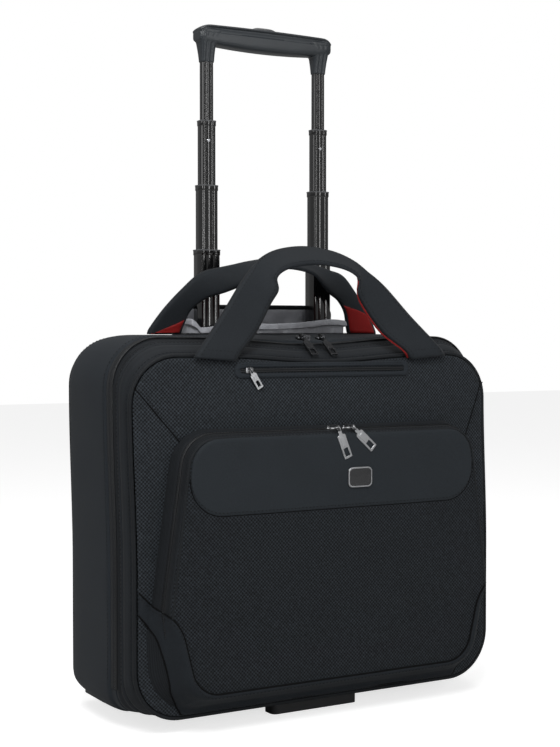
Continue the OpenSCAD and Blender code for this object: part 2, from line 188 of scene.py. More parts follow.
def grid(name, points, material, wrap=False, flip=False, caps=False):
    """a surface through a grid of points; wrap joins the last column to the first"""
    points = np.asarray(points, float)
    m, n = points.shape[:2]
    columns = n if wrap else n - 1
    row = points[m // 2]
    across = lengths(np.vstack([row, row[:1]]))
    down = np.concatenate([[0], np.cumsum(np.linalg.norm(np.diff(points, axis=0), axis=2).mean(1))])
    faces, uv = [], []
    for i in range(m - 1):
        for j in range(columns):
            k = (j + 1) % n
            face = [i * n + j, i * n + k, (i + 1) * n + k, (i + 1) * n + j]
            place = [(across[j], down[i]), (across[j + 1], down[i]),
                     (across[j + 1], down[i + 1]), (across[j], down[i + 1])]
            faces.append(face[::-1] if flip else face)
            uv.extend(place[::-1] if flip else place)
    if caps:
        first, last = list(range(n)), [(m - 1) * n + j for j in range(n)]
        for face in (first[::-1], last) if not flip else (first, last[::-1]):
            faces.append(face)
            uv.extend([(0, 0)] * n)
    return mesh_object(name, points.reshape(-1, 3), faces, material, uv)


def thicken(obj, thickness, inner=0, rim=0, offset=-1):
    m = obj.modifiers.new("thickness", "SOLIDIFY")
    m.thickness, m.offset = thickness, offset
    m.material_offset, m.material_offset_rim = inner, rim
    m.use_quality_normals = True
    return obj


def refine(obj, levels=1):
    m = obj.modifiers.new("subdivision", "SUBSURF")
    m.levels = m.render_levels = levels
    return obj


def bevel(obj, width, segments=3, angle=35):
    m = obj.modifiers.new("bevel", "BEVEL")
    m.width, m.segments, m.limit_method = width, segments, "ANGLE"
    m.angle_limit = math.radians(angle)
    m.harden_normals = False
    return obj


def frames_along(path, closed):
    """tangent, side and up at each point of a path, with little twist"""
    path = np.asarray(path, float)
    ahead = np.roll(path, -1, 0) - np.roll(path, 1, 0)
    if not closed:
        ahead[0], ahead[-1] = path[1] - path[0], path[-1] - path[-2]
    ahead /= np.linalg.norm(ahead, axis=1)[:, None]
    side = np.zeros_like(path)
    seed = np.array([0, 1, 0]) if abs(ahead[0][1]) < 0.9 else np.array([1, 0, 0])
    side[0] = np.cross(ahead[0], seed)
    side[0] /= np.linalg.norm(side[0])
    for i in range(1, len(path)):
        s = side[i - 1] - (side[i - 1] @ ahead[i]) * ahead[i]
        side[i] = s / np.linalg.norm(s)
    return ahead, side, np.cross(ahead, side)


def tube(name, path, radius, material, sides=10, closed=False, squash=1.0):
    """a round cord along a path; radius is one number or one for each point"""
    path = np.asarray(path, float)
    _, side, up = frames_along(path, closed)
    radius = np.broadcast_to(np.asarray(radius, float), (len(path),))
    turn = np.linspace(0, 2 * np.pi, sides, endpoint=False)
    rings = (path[:, None] + radius[:, None, None] * (
        np.cos(turn)[None, :, None] * side[:, None] + squash * np.sin(turn)[None, :, None] * up[:, None]))
    if closed:
        rings = np.concatenate([rings, rings[:1]])
    return grid(name, rings, material, wrap=True, caps=not closed)


def joined(name, objs):
    """several objects as one piece"""
    bpy.ops.object.select_all(action="DESELECT")
    for o in objs:
        o.select_set(True)
    bpy.context.view_layer.objects.active = objs[0]
    bpy.ops.object.join()
    objs[0].name = name
    objs[0].data.name = name
    return objs[0]


def applied(obj):
    """the object with its modifiers made part of its mesh"""
    graph = bpy.context.evaluated_depsgraph_get()
    mesh = bpy.data.meshes.new_from_object(obj.evaluated_get(graph))
    obj.modifiers.clear()
    obj.data = mesh
    return obj


def declare(obj, slot, body, *nodes):
    """hides the nodes that a piece stands for and hangs it on the body it rides on; slot, what the piece is
    made of, is not used
    """
    if nodes:
        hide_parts(*nodes)
    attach(obj, body)


class Surface:
    """the front or the back of some objects, seen along Y"""

    def __init__(self, objs, towards=1):
        graph = bpy.context.evaluated_depsgraph_get()
        verts, faces = [], []
        for o in objs:
            e = o.evaluated_get(graph).data
            start = len(verts)
            verts += [tuple(v.co) for v in e.vertices]
            faces += [[start + i for i in p.vertices] for p in e.polygons]
        self.tree = BVHTree.FromPolygons(verts, faces)
        self.towards = towards

    def at(self, x, z):
        """the surface's y at x and z, or the nearest point's where nothing lies there"""
        hit = self.tree.ray_cast(Vector((x, -self.towards, z)), Vector((0, self.towards, 0)))[0]
        if hit is not None:
            return hit.y
        return self.tree.find_nearest(Vector((x, Y_FRONT if self.towards > 0 else Y_REAR, z)))[0].y

    def lay(self, line, lift=0.0):
        """points of a line in X and Z, laid on the surface"""
        return np.array([(x, self.at(x, z) - self.towards * lift, z) for x, z in line])


def inside(points, polygon):
    x, z = points[:, 0], points[:, 1]
    hit = np.zeros(len(points), bool)
    for (x0, z0), (x1, z1) in zip(polygon, np.roll(polygon, -1, 0)):
        cross = (z0 > z) != (z1 > z)
        with np.errstate(divide="ignore", invalid="ignore"):
            hit ^= cross & (x < (x1 - x0) * (z - z0) / (z1 - z0) + x0)
    return hit


def edge_distance(points, polygon):
    best = np.full(len(points), 1e9)
    for a, b in zip(polygon, np.roll(polygon, -1, 0)):
        d = b - a
        t = np.clip(((points - a) @ d) / max(d @ d, 1e-18), 0, 1)
        best = np.minimum(best, np.linalg.norm(points - a - t[:, None] * d, axis=1))
    return best


def patch(name, outline, spacing, material, base, lift=1 * MM, roll=2.5 * MM, sink=0.6 * MM, towards=1,
          extra=None, skirt=True):
    """a fabric panel cut to an outline in X and Z and laid on base(x, z), with rolled edges"""
    outline = resample(outline, max(24, int(lengths(np.vstack([outline, outline[:1]]))[-1] / spacing)), True)
    area = np.sum(outline[:, 0] * np.roll(outline[:, 1], -1) - outline[:, 1] * np.roll(outline[:, 0], -1))
    if area < 0:
        outline = outline[::-1]
    ahead = np.roll(outline, -1, 0) - np.roll(outline, 1, 0)
    inward = np.stack([-ahead[:, 1], ahead[:, 0]], 1) / np.linalg.norm(ahead, axis=1)[:, None]
    rings = [outline + inward * roll * k for k in (0.12, 0.35, 0.7, 1.15)]
    low, high = outline.min(0), outline.max(0)
    xs = np.arange(low[0], high[0], spacing)
    zs = np.arange(low[1], high[1], spacing * 0.866)
    inner = np.array([(x + (i % 2) * spacing / 2, z) for i, z in enumerate(zs) for x in xs])
    inner = inner[inside(inner, outline)]
    inner = inner[edge_distance(inner, outline) > roll * 1.15 + 0.4 * spacing]
    ring_points = np.vstack(rings)
    keep = inside(ring_points, outline) & (edge_distance(ring_points, outline) > 0.09 * roll)
    points = np.vstack([outline, ring_points[keep], inner])
    n = len(outline)
    edges = [(i, (i + 1) % n) for i in range(n)]
    verts, _, faces, _, _, _ = delaunay_2d_cdt([Vector(p) for p in points], edges, [], 1, 1e-6)
    verts = np.array([tuple(v) for v in verts])
    distance = edge_distance(verts, outline)
    part = np.clip(distance / roll, 0, 1)
    height = lift * np.sqrt(1 - (1 - part) ** 2)
    if extra is not None:
        height = height + extra(verts, distance)
    y = np.array([base(x, z) for x, z in verts])
    solid = [(v[0], y[i] - towards * height[i], v[1]) for i, v in enumerate(verts)]
    faces = [list(f) for f in faces]
    if towards > 0:
        faces = [f if _turn(verts, f) > 0 else f[::-1] for f in faces]
    else:
        faces = [f if _turn(verts, f) < 0 else f[::-1] for f in faces]
    if skirt:
        rim = [i for i in range(len(verts)) if distance[i] < 1e-6]
        place = {i: len(solid) + k for k, i in enumerate(rim)}
        solid += [(verts[i][0], y[i] + towards * sink, verts[i][1]) for i in rim]
        seen = {}
        for f in faces:
            for a, b in zip(f, f[1:] + f[:1]):
                seen[(a, b)] = True
        for a, b in list(seen):
            if (b, a) not in seen and a in place and b in place:
                faces.append([b, a, place[a], place[b]])
    uv = [(solid[i][0], solid[i][2]) for f in faces for i in f]
    return mesh_object(name, solid, faces, material, uv)


def _turn(verts, f):
    p, q, r = verts[f[0]], verts[f[1]], verts[f[2]]
    return (q[0] - p[0]) * (r[1] - p[1]) - (q[1] - p[1]) * (r[0] - p[0])


def stitches(name, path, material, length=2.6 * MM, gap=1.5 * MM, width=0.45 * MM, lift=0.35 * MM,
             out=(0, -1, 0)):
    """a row of sewn stitches along a path in space; out is the way the surface faces, one or one per point"""
    path = np.asarray(path, float)
    along = lengths(path)
    total = along[-1]
    out = np.broadcast_to(np.asarray(out, float), path.shape)
    at = np.arange(gap, total - length, length + gap)

    def place(s):
        return (np.stack([np.interp(s, along, path[:, k]) for k in range(3)], -1),
                np.stack([np.interp(s, along, out[:, k]) for k in range(3)], -1))

    verts, faces = [], []
    for s in at:
        p0, o = place(s)
        p1, _ = place(s + length)
        mid, _ = place(s + length / 2)
        d = p1 - p0
        d /= np.linalg.norm(d)
        o = o - (o @ d) * d
        o /= np.linalg.norm(o)
        side = np.cross(d, o) * width
        start = len(verts)
        verts += [p0 - 0.3 * lift * o]
        for c, w in ((p0 * 0.75 + p1 * 0.25, 0.9), (mid, 1.0), (p0 * 0.25 + p1 * 0.75, 0.9)):
            verts += [c + w * side, c + w * side * 0.5 + w * lift * o, c - w * side * 0.5 + w * lift * o,
                      c - w * side]
        verts += [p1 - 0.3 * lift * o]
        end = len(verts) - 1
        for k in range(3):
            faces.append([start, start + 1 + k, start + 2 + k])
            faces.append([end, end - 4 + k + 1, end - 4 + k])
            for r in range(2):
                a = start + 1 + 4 * r + k
                faces.append([a, a + 4, a + 5, a + 1])
    return mesh_object(name, verts, faces, material)


def sew(name, path, body, out=(0, -1, 0)):
    """a row of stitches that rides on a body"""
    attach(stitches(name, path, THREAD, out=out), body)


def normals_along(path, closed=False):
    """for a line round the case: the way out from the case's middle, level with the line"""
    ahead = np.roll(path, -1, 0) - np.roll(path, 1, 0)
    if not closed:
        ahead[0], ahead[-1] = path[1] - path[0], path[-1] - path[-2]
    out = np.cross(ahead, np.array([0, 1, 0]))
    out /= np.linalg.norm(out, axis=1)[:, None]
    centre = np.array([0, 0, (CASE_LOW + CASE_TOP) / 2])
    out *= np.sign(((path - centre) * out).sum(1))[:, None]
    return out


# ---------------------------------------------------------------- materials

class Shader:
    """a material and its nodes, with short ways to add pattern nodes"""

    def __init__(self, name, colour, roughness, metallic=0.0, specular=0.5, sheen=0.0, coat=0.0):
        self.material = bpy.data.materials.new(name)
        self.material.use_nodes = True
        tree = self.material.node_tree
        self.nodes, self.links = tree.nodes, tree.links
        self.shader = self.nodes["Principled BSDF"]
        self.shader.inputs["Metallic"].default_value = metallic
        self.shader.inputs["Specular IOR Level"].default_value = specular
        self.shader.inputs["Roughness"].default_value = roughness
        self.shader.inputs["Base Color"].default_value = (*colour, 1)
        if sheen:
            self.shader.inputs["Sheen Weight"].default_value = sheen
            self.shader.inputs["Sheen Roughness"].default_value = 0.5
        if coat:
            self.shader.inputs["Coat Weight"].default_value = coat
            self.shader.inputs["Coat Roughness"].default_value = 0.08
        self.colour = colour
        self.height = None
        self.tint = None

    def add(self, kind, **values):
        node = self.nodes.new(kind)
        for key, value in values.items():
            if hasattr(node, key):
                setattr(node, key, value)
            else:
                node.inputs[key.replace("_", " ")].default_value = value
        return node

    def math(self, operation, a, b=None):
        node = self.nodes.new("ShaderNodeMath")
        node.operation = operation
        for socket, value in zip(node.inputs, (a, b)):
            if value is None:
                continue
            if isinstance(value, (int, float)):
                socket.default_value = value
            else:
                self.links.new(value, socket)
        return node.outputs[0]

    def weave_axes(self):
        uv = self.add("ShaderNodeUVMap", uv_map="weave")
        split = self.nodes.new("ShaderNodeSeparateXYZ")
        self.links.new(uv.outputs["UV"], split.inputs[0])
        return split.outputs["X"], split.outputs["Y"]

    def wave(self, axis, pitch):
        return self.math("SINE", self.math("MULTIPLY_ADD", axis, 2 * math.pi / pitch))

    def object_space(self):
        return self.add("ShaderNodeTexCoord").outputs["Object"]

    def noise(self, size, detail=2.0, rough=0.5):
        node = self.add("ShaderNodeTexNoise")
        node.inputs["Scale"].default_value = 1 / size
        node.inputs["Detail"].default_value = detail
        node.inputs["Roughness"].default_value = rough
        self.links.new(self.object_space(), node.inputs["Vector"])
        return node.outputs["Fac"]

    def raise_by(self, value, strength):
        scaled = self.math("MULTIPLY", value, strength)
        self.height = scaled if self.height is None else self.math("ADD", self.height, scaled)

    def shade_by(self, value, low, high):
        """multiplies the colour by low to high as value goes from 0 to 1"""
        part = self.math("MULTIPLY_ADD", value, high - low)
        self.nodes[-1].inputs[2].default_value = low
        self.tint = part if self.tint is None else self.math("MULTIPLY", self.tint, part)

    def vary_roughness(self, value, low, high):
        part = self.math("MULTIPLY_ADD", value, high - low)
        self.nodes[-1].inputs[2].default_value = low
        self.links.new(part, self.shader.inputs["Roughness"])

    def done(self, distance=1.0):
        if self.height is not None:
            bump = self.nodes.new("ShaderNodeBump")
            bump.inputs["Strength"].default_value = 1.0
            bump.inputs["Distance"].default_value = distance
            self.links.new(self.height, bump.inputs["Height"])
            self.links.new(bump.outputs["Normal"], self.shader.inputs["Normal"])
        if self.tint is not None:
            scale = self.nodes.new("ShaderNodeVectorMath")
            scale.operation = "SCALE"
            scale.inputs[0].default_value = self.colour
            self.links.new(self.tint, scale.inputs["Scale"])
            self.links.new(scale.outputs["Vector"], self.shader.inputs["Base Color"])
        return self.material


def woven(name, colour, pitch, bump, roughness=0.75, specular=0.16, sheen=0.03, contrast=0.35, mottle=0.12,
          grain=0.2):
    """a plain weave: threads over and under each other, a little uneven"""
    s = Shader(name, colour, roughness, specular=specular, sheen=sheen)
    u, v = s.weave_axes()
    cross = s.math("MULTIPLY", s.wave(u, pitch), s.wave(v, pitch))
    cell = s.math("MULTIPLY_ADD", cross, 0.5)
    s.nodes[-1].inputs[2].default_value = 0.5
    s.raise_by(cell, bump)
    s.raise_by(s.noise(0.6 * MM, 2), bump * 0.5)
    s.shade_by(cell, 1 - contrast, 1 + contrast)
    s.shade_by(s.noise(45 * MM, 3), 1 - mottle, 1 + mottle)
    s.shade_by(s.noise(max(1.2 * MM, pitch * 0.7), 2), 1 - grain * 1.5, 1 + grain * 1.5)
    return s.done()


def ribbed(name, colour, pitch, bump, roughness=0.7, contrast=0.3):
    """zip tape: fine ribs along its length"""
    s = Shader(name, colour, roughness, specular=0.16, sheen=0.03)
    _, v = s.weave_axes()
    rib = s.math("MULTIPLY_ADD", s.wave(v, pitch), 0.5)
    s.nodes[-1].inputs[2].default_value = 0.5
    s.raise_by(rib, bump)
    s.raise_by(s.noise(0.5 * MM, 2), bump * 0.5)
    s.shade_by(rib, 1 - contrast, 1 + contrast)
    s.shade_by(s.noise(20 * MM, 2), 0.85, 1.15)
    return s.done()


def satin(name, colour, crease=0.5 * MM):
    s = Shader(name, colour, 0.42, specular=0.45, sheen=0.2)
    folds = s.noise(16 * MM, 4, 0.55)
    s.raise_by(folds, crease * 5)
    s.raise_by(s.noise(0.4 * MM, 1), 0.03 * MM)
    # painted shade: the fold noise that raises the satin also darkens its hollows and lightens its crests
    s.shade_by(folds, 0.72, 1.18)
    s.vary_roughness(s.noise(6 * MM, 2), 0.34, 0.52)
    return s.done()


def moulded(name, colour, roughness=0.45, grain=0.5 * MM, depth=0.03 * MM, specular=0.5):
    """plastic with a fine moulded grain"""
    s = Shader(name, colour, roughness, specular=specular)
    fine = s.noise(grain, 3)
    s.raise_by(fine, depth)
    s.shade_by(s.noise(30 * MM, 3), 0.88, 1.12)
    s.vary_roughness(s.noise(4 * MM, 4), roughness - 0.06, roughness + 0.08)
    return s.done()


def metal(name, colour, roughness, scratch=0.02 * MM, metallic=1.0, coat=0.0, specular=0.5, grain=1.5 * MM):
    s = Shader(name, colour, roughness, metallic=metallic, coat=coat, specular=specular)
    fine = s.noise(grain, 4, 0.6)
    if scratch:
        s.raise_by(fine, scratch)
    s.shade_by(s.noise(12 * MM, 3), 0.85, 1.12)
    s.vary_roughness(fine, roughness * 0.8, roughness * 1.25)
    return s.done()


WEAVE = woven("ballistic weave", (0.0172, 0.0208, 0.0250), 3.7 * MM, 0.5 * MM, contrast=1.0, roughness=0.7,
              grain=0.5)
# painted shade: a darker copy of the ballistic weave above, for the pocket face, which is lit less
SHADED_POCKET_WEAVE = woven("pocket weave, painted shade", (0.0112, 0.0138, 0.0168), 3.7 * MM, 0.5 * MM, contrast=1.0,
                     roughness=0.7,
                     grain=0.5)
# painted shade: a darker copy of the smooth fabric, for the wave trim, which is lit less
SHADED_WAVE_CLOTH = woven("wave fabric, painted shade", (0.0124, 0.0154, 0.0190), 0.9 * MM, 0.03 * MM, roughness=0.72,
                   contrast=0.12)
SMOOTH = woven("smooth fabric", (0.0172, 0.0212, 0.0260), 0.9 * MM, 0.03 * MM, roughness=0.72, contrast=0.12)
BAND = woven("brushed band", (0.0170, 0.0210, 0.0252), 0.7 * MM, 0.015 * MM, roughness=0.68, contrast=0.08)
STRAP = woven("strap fabric", (0.0160, 0.0190, 0.0226), 0.8 * MM, 0.02 * MM, roughness=0.7, contrast=0.1)
RED = woven("red lining", (0.21, 0.004, 0.0035), 1.1 * MM, 0.04 * MM, roughness=0.6, contrast=0.15,
            specular=0.3)
LINING = satin("grey satin", (0.33, 0.34, 0.37))
TAPE = ribbed("zip tape", (0.0100, 0.0118, 0.0142), 2.0 * MM, 0.12 * MM)
HEM = ribbed("hem", (0.0128, 0.0152, 0.0182), 5.5 * MM, 0.03 * MM, contrast=0.1)
COIL = moulded("zip coil", (0.0085, 0.0098, 0.0115), 0.42, specular=0.35)
PIPING = woven("piping cover", (0.0095, 0.0112, 0.0132), 1.2 * MM, 0.05 * MM, roughness=0.6)
THREAD = moulded("thread", (0.0080, 0.0092, 0.0108), 0.7, 0.3 * MM, specular=0.2)
# painted shadow: near-black cords laid along seams stand for the shade in the gaps where one cloth meets or
# tucks under another
SEAM_SHADOW = moulded("seam shadow", (0.0040, 0.0042, 0.0045), 0.85, 0.4 * MM, specular=0.1)
PADDED = woven("padded lining", (0.055, 0.056, 0.06), 3.0 * MM, 0.3 * MM, roughness=0.8)
GRIP = moulded("grip plastic", (0.022, 0.0265, 0.031), 0.34, 0.45 * MM, 0.02 * MM, 0.5)
BUTTON = moulded("button plastic", (0.045, 0.047, 0.05), 0.34, 0.5 * MM, 0.015 * MM)
CHASSIS = moulded("chassis plastic", (0.016, 0.0165, 0.018), 0.5, 0.7 * MM, 0.06 * MM, 0.4)
RUBBER = moulded("rubber", (0.013, 0.013, 0.0135), 0.75, 0.6 * MM, 0.05 * MM, 0.3)
TUBE = metal("black tube", (0.0035, 0.0036, 0.0040), 0.14, 0.0, metallic=0.0, coat=0.7, specular=0.6,
             grain=60 * MM)
# painted highlight: the light grey band that tops each collar stands for the highlight along its top edge; the
# collar itself is black like the tubes
COLLAR_EDGE_HIGHLIGHT = moulded("collar top, painted highlight", (0.085, 0.088, 0.092), 0.38, 0.5 * MM, 0.01 * MM)
BRIGHT = metal("brushed nickel", (0.36, 0.365, 0.375), 0.32)
GUNMETAL = metal("gunmetal", (0.075, 0.077, 0.082), 0.28)
STEEL = metal("plain steel", (0.45, 0.46, 0.48), 0.35)
ALLOY = metal("mill aluminium", (0.5, 0.51, 0.53), 0.4)
PLAQUE = metal("enamelled plaque", (0.02, 0.0205, 0.022), 0.25, 0.005 * MM, metallic=0.2, coat=0.5)


# ---------------------------------------------------------------- the case's soft outline

def settle(points):
    """Soft cloth isn't straight: the lid's top sags between the handle's feet and the case leans a little."""
    p = np.array(points, float)
    x, y, z = p[..., 0], p[..., 1], p[..., 2]
    front = 1 - smooth(y, Y_PIPING, Y_ZIP + 34 * MM)
    depth = np.interp(y, [Y_PIPING, Y_ZIP, Y_ZIP + 22 * MM, Y_ZIP + 58 * MM], [7.0, 7.5, 5.0, 0.0])
    sag = -depth * MM * bell(x, 8 * MM, 78 * MM) * smooth(z, 300 * MM, 352 * MM)
    lean = -4.5 * MM * smooth(z, 150 * MM, 320 * MM) * (0.75 + 0.25 * front)
    p[..., 0] = x + lean
    p[..., 2] = z + sag
    return p


def ring(y, out, n, half=None, top=None, radius=None, low=None):
    """the case's outline at a depth, moved out by out: half of its width and its top follow the depth"""
    part = np.clip((y - Y_PIPING) / (Y_ZIP - Y_PIPING), 0, 1)
    half = FRONT_HALF + part * (CASE_HALF - FRONT_HALF) if half is None else half
    top = FRONT_TOP + part * (CASE_TOP - FRONT_TOP) if top is None else top
    low = CASE_LOW if low is None else low
    radius = CORNER - 2 * MM * (1 - part) if radius is None else radius
    r = radius + out
    r_low = r - 26 * MM * smooth(y, Y_PIPING + 2 * MM, Y_PIPING + 40 * MM)
    corners = [(0, low - out), (-half - out, low - out, r_low), (-half - out, top + out, r),
               (half + out, top + out, r), (half + out, low - out, r_low)]
    line = resample(filleted(corners, True, 16), n, True)
    return settle(np.column_stack([line[:, 0], np.full(n, y), line[:, 1]]))


RING = 400


def shell(name, profile, material, inner, extra=None, thickness=2.2 * MM):
    """a band of cloth round the case: profile is [(depth, out)] from the front to the back"""
    rings = np.array([ring(y, out, RING) for y, out in profile])
    if extra is not None:
        rings = extra(rings)
    obj = grid(name, rings, [material, inner], wrap=True)
    return thicken(obj, thickness, inner=1, rim=0)


def span(line, keep):
    """the longest run of a closed line's points that keep says to keep"""
    ok = np.array([keep(p) for p in line])
    start = next(i for i in range(len(line)) if ok[i] and not ok[i - 1])
    run = [line[(start + k) % len(line)] for k in range(int(ok.sum()))]
    return np.array(run)


def above(z):
    return lambda p: p[2] > z


def coil(name, path, out, side, body, pitch=1.5 * MM, width=3.0 * MM, height=1.3 * MM):
    """one half of a zip's coil: teeth along a path. side says which way its teeth point."""
    path = resample(path, max(8, int(lengths(path)[-1] / (pitch / 2))))
    out = resample(out, len(path))
    out /= np.linalg.norm(out, axis=1)[:, None]
    side = np.asarray(side, float)
    level = np.array([0.25, 1.0])[np.arange(len(path)) % 2]
    rows = []
    for across, rise in ((0.0, 0.0), (0.02, 0.7), (0.3, 1.0), (0.7, 1.0), (1.0, 0.55), (1.0, 0.0)):
        reach = np.where(level > 0.5, 1.0, 0.75) * across
        rows.append(path + side * (reach * width)[:, None] + out * (rise * level * height)[:, None])
    facing = np.cross(path[1] - path[0], side) @ out[0]
    obj = grid(name, np.array(rows), COIL, flip=facing < 0)
    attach(obj, body)
    return obj


# ---------------------------------------------------------------- lid and rear shell

def lid_profile():
    steps = [(-64.2, -0.6), (-63.2, 0.1), (-61.5, -0.5), (-60, 0.5), (-58, 1.2), (-53, 1.5), (-49, 1.3),
             (-47, 0.9),
             (-46.2, -0.1), (-45.4, 0.9), (-43.5, 1.1), (-42, 0.7), (-41.2, -0.5), (-40, -0.9), (-37, -0.8),
             (-35.6, -0.5), (-33.4, -0.6)]
    return [(y * MM, out * MM) for y, out in steps]


def rear_profile():
    steps = [(-32.6, -0.6), (-31, -0.5), (-29, -0.8), (-25, -0.8), (-20.6, -0.6), (-19.6, 0.5), (-18.4, 1.3),
             (-14, 1.7), (-6, 2.1), (6, 2.5), (20, 2.8), (30, 2.8), (36.6, 2.7), (48, 2.4), (60, 1.6),
             (70, 0.4), (73.2, -0.3), (76, -0.9), (80, -2.6), (82.5, -4.4), (84, -6.6)]
    return [(y * MM, out * MM) for y, out in steps]


def soften(strength, size, seed):
    def move(rings):
        flat = rings.reshape(-1, 3)
        mid = np.array([0, 0, (CASE_LOW + CASE_TOP) / 2])
        d = flat - mid
        d[:, 1] = 0
        d /= np.linalg.norm(d, axis=1)[:, None]
        # an open edge keeps its line, so that the two halves meet at the zip
        weight = np.minimum(1, np.minimum(np.abs(flat[:, 1] - Y_ZIP),
                                          np.abs(flat[:, 1] - Y_REAR)) / (20 * MM))
        amount = wander(flat, size, strength, seed) * weight
        return (flat + d * amount[:, None]).reshape(rings.shape)
    return move


def make_shells():
    lid = shell("lid_gusset_cloth", lid_profile(), HEM, LINING)
    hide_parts("lid_gusset", "bottom_sill")
    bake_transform(applied(lid))

    rear = shell("rear_gusset_cloth", rear_profile(), SMOOTH, LINING, soften(1.6 * MM, 70 * MM, 3.0))
    rear = applied(rear)
    cut_well(rear)
    cut_housings(rear)
    declare(rear, "smooth_fabric", "case", "rear_gusset")


def cut_faces(obj, gone):
    """takes away the faces that gone picks"""
    bm = bmesh.new()
    bm.from_mesh(obj.data)
    bmesh.ops.delete(bm, geom=[f for f in bm.faces if gone(f)], context="FACES")
    bm.to_mesh(obj.data)
    bm.free()


def cut_housings(obj, shrink=1.5 * MM):
    """takes away the parts of a soft piece that the wheel housings stand in; they close the hole"""
    low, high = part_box("wheel_housings")
    split = (high.x + low.x) / 2

    def hidden(f):
        c = f.calc_center_median()
        across = HOUSING_IN + shrink < abs(c.x - split) < high.x - split - shrink
        return across and c.y > low.y + shrink and c.z < high.z - shrink

    cut_faces(obj, hidden)


def cut_well(obj):
    """opens the top of the shell over the handle well"""
    def over(f):
        return all(abs(v.co.x) < WELL_HALF and WELL_FRONT - 1 * MM < v.co.y < WELL_BACK + 1 * MM
                   and v.co.z > CASE_TOP - 12 * MM for v in f.verts)

    cut_faces(obj, over)


def make_zip():
    """tapes, coil and stitching of the main zip"""
    from_z = above(40 * MM)
    line = span(ring(Y_ZIP, -0.2 * MM, RING * 2), from_z)
    out = normals_along(line)
    coil("main_coil_front", line - [0, 0.1 * MM, 0], out, (0, -1, 0), "front_lid")
    coil("main_coil_rear", line + [0, 0.1 * MM, 0], out, (0, 1, 0), "case")
    for name, low, high, body, node in (("main_tape_front", -40.6, -33.3, "front_lid", "zip_tape_front"),
                                        ("main_tape_rear", -32.7, -21, "case", "zip_tape_rear")):
        rows = [span(ring(y * MM, o * MM, RING * 2), from_z) for y, o in
                ((low, -0.5), (low + 0.4, -0.1), ((low + high) / 2, -0.1), (high - 0.4, -0.1), (high, -0.5))]
        n = min(len(r) for r in rows)
        obj = grid(name, np.array([resample(r, n) for r in rows]), TAPE)
        thicken(obj, 0.8 * MM, offset=-1)
        declare(obj, "zip_tape", body, node)
    seams = (("hem_stitch_front", -59, 1.3, "front_lid"), ("hem_stitch_rear", -43.4, 1.2, "front_lid"),
             ("side_stitch", -16.6, 1.6, "case"), ("back_stitch", 74, -0.4, "case"))
    for name, y, o, body in seams:
        path = span(ring(y * MM, o * MM, RING), above(44 * MM))
        sew(name, path, body, normals_along(path))


def make_piping():
    path = ring(Y_PIPING - 1.2 * MM, 1.0 * MM, RING)
    front = tube("front_piping_cord", path, 2.0 * MM, PIPING, 10, closed=True)
    declare(front, "piping", "front_lid", "front_piping")
    rear = tube("rear_piping_cord", ring(Y_BACK + 1.0 * MM, -6.0 * MM, RING), 1.9 * MM, PIPING, 10,
                closed=True)
    cut_housings(rear, 0.0)
    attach(rear, "case")


# ---------------------------------------------------------------- front panel and pocket

POCKET_BACK = [(0, 24, 0), (-190, 24, 46), (-193, 96, 30), (-166, 290, 36), (166, 290, 36), (193, 96, 30),
               (190, 24, 46)]
POCKET_FACE = [(0, 38, 0), (-162, 38, 30), (-174, 96, 60), (-184, 122, 30), (-160, 282, 30), (160, 282, 30),
               (184, 122, 30), (174, 96, 60), (162, 38, 30)]


def front_base(x, z):
    """the front panel's surface: a slight pillow with soft ripples"""
    pillow = 2.4 * MM * (1 - smooth(abs(x), 130 * MM, 204 * MM)) * smooth(z, 16 * MM, 90 * MM) \
        * (1 - smooth(z, 300 * MM, 357 * MM))
    ripple = noise.noise(Vector((x, z, 0)) / (60 * MM)) * 0.9 * MM
    corner = noise.noise(Vector((x, z * 2.2, 0.02)) / (34 * MM)) * 2.0 * MM \
        * float(bell(abs(x), 198 * MM, 24 * MM) * bell(z, 165 * MM, 45 * MM))
    belly = 4 * MM * float(bell(z, 288 * MM, 38 * MM)) * (1 - smooth(abs(x), 110 * MM, 198 * MM))
    return Y_FRONT - pillow - ripple - corner - belly


def make_front():
    outline = ring(Y_PIPING, -1.2 * MM, 300)[:, [0, 2]]
    panel = patch("front_panel_cloth", outline, 4.5 * MM, [WEAVE, LINING], front_base, lift=1.5 * MM,
                  roll=7 * MM,
                  skirt=False)
    thicken(panel, 2.4 * MM, inner=1, rim=0)
    applied(panel)
    declare(panel, "ballistic_fabric", "front_lid", "front_panel")
    return panel


def pocket_lines(n):
    """the pocket's outline at the panel and at its face, point for point"""
    back = resample(filleted(scaled(POCKET_BACK), True, 14), n, True)
    face = resample(filleted(scaled(POCKET_FACE), True, 14), n, True)
    # matched by the way they look from the pocket's middle, so that the walls don't twist
    centre = np.array([0, 160 * MM])
    angle_b = np.unwrap(np.arctan2(*(back - centre).T))
    angle_f = np.unwrap(np.arctan2(*(face - centre).T))
    if angle_b[-1] < angle_b[0]:
        angle_b, angle_f = -angle_b, -angle_f
    ext_a = np.concatenate([angle_f - 2 * np.pi, angle_f, angle_f + 2 * np.pi])
    ext = np.vstack([face, face, face])
    face = np.stack([np.interp(angle_b, ext_a, ext[:, k]) for k in (0, 1)], 1)
    return back, face


POCKET_N = 360
POCKET_ZIP_END = 96 * MM        # height at which the pocket's zip ends on both sides


def wall_ring(back, face, part, y):
    p = back + (face - back) * part
    return np.column_stack([p[:, 0], np.full(len(p), y), p[:, 1]])


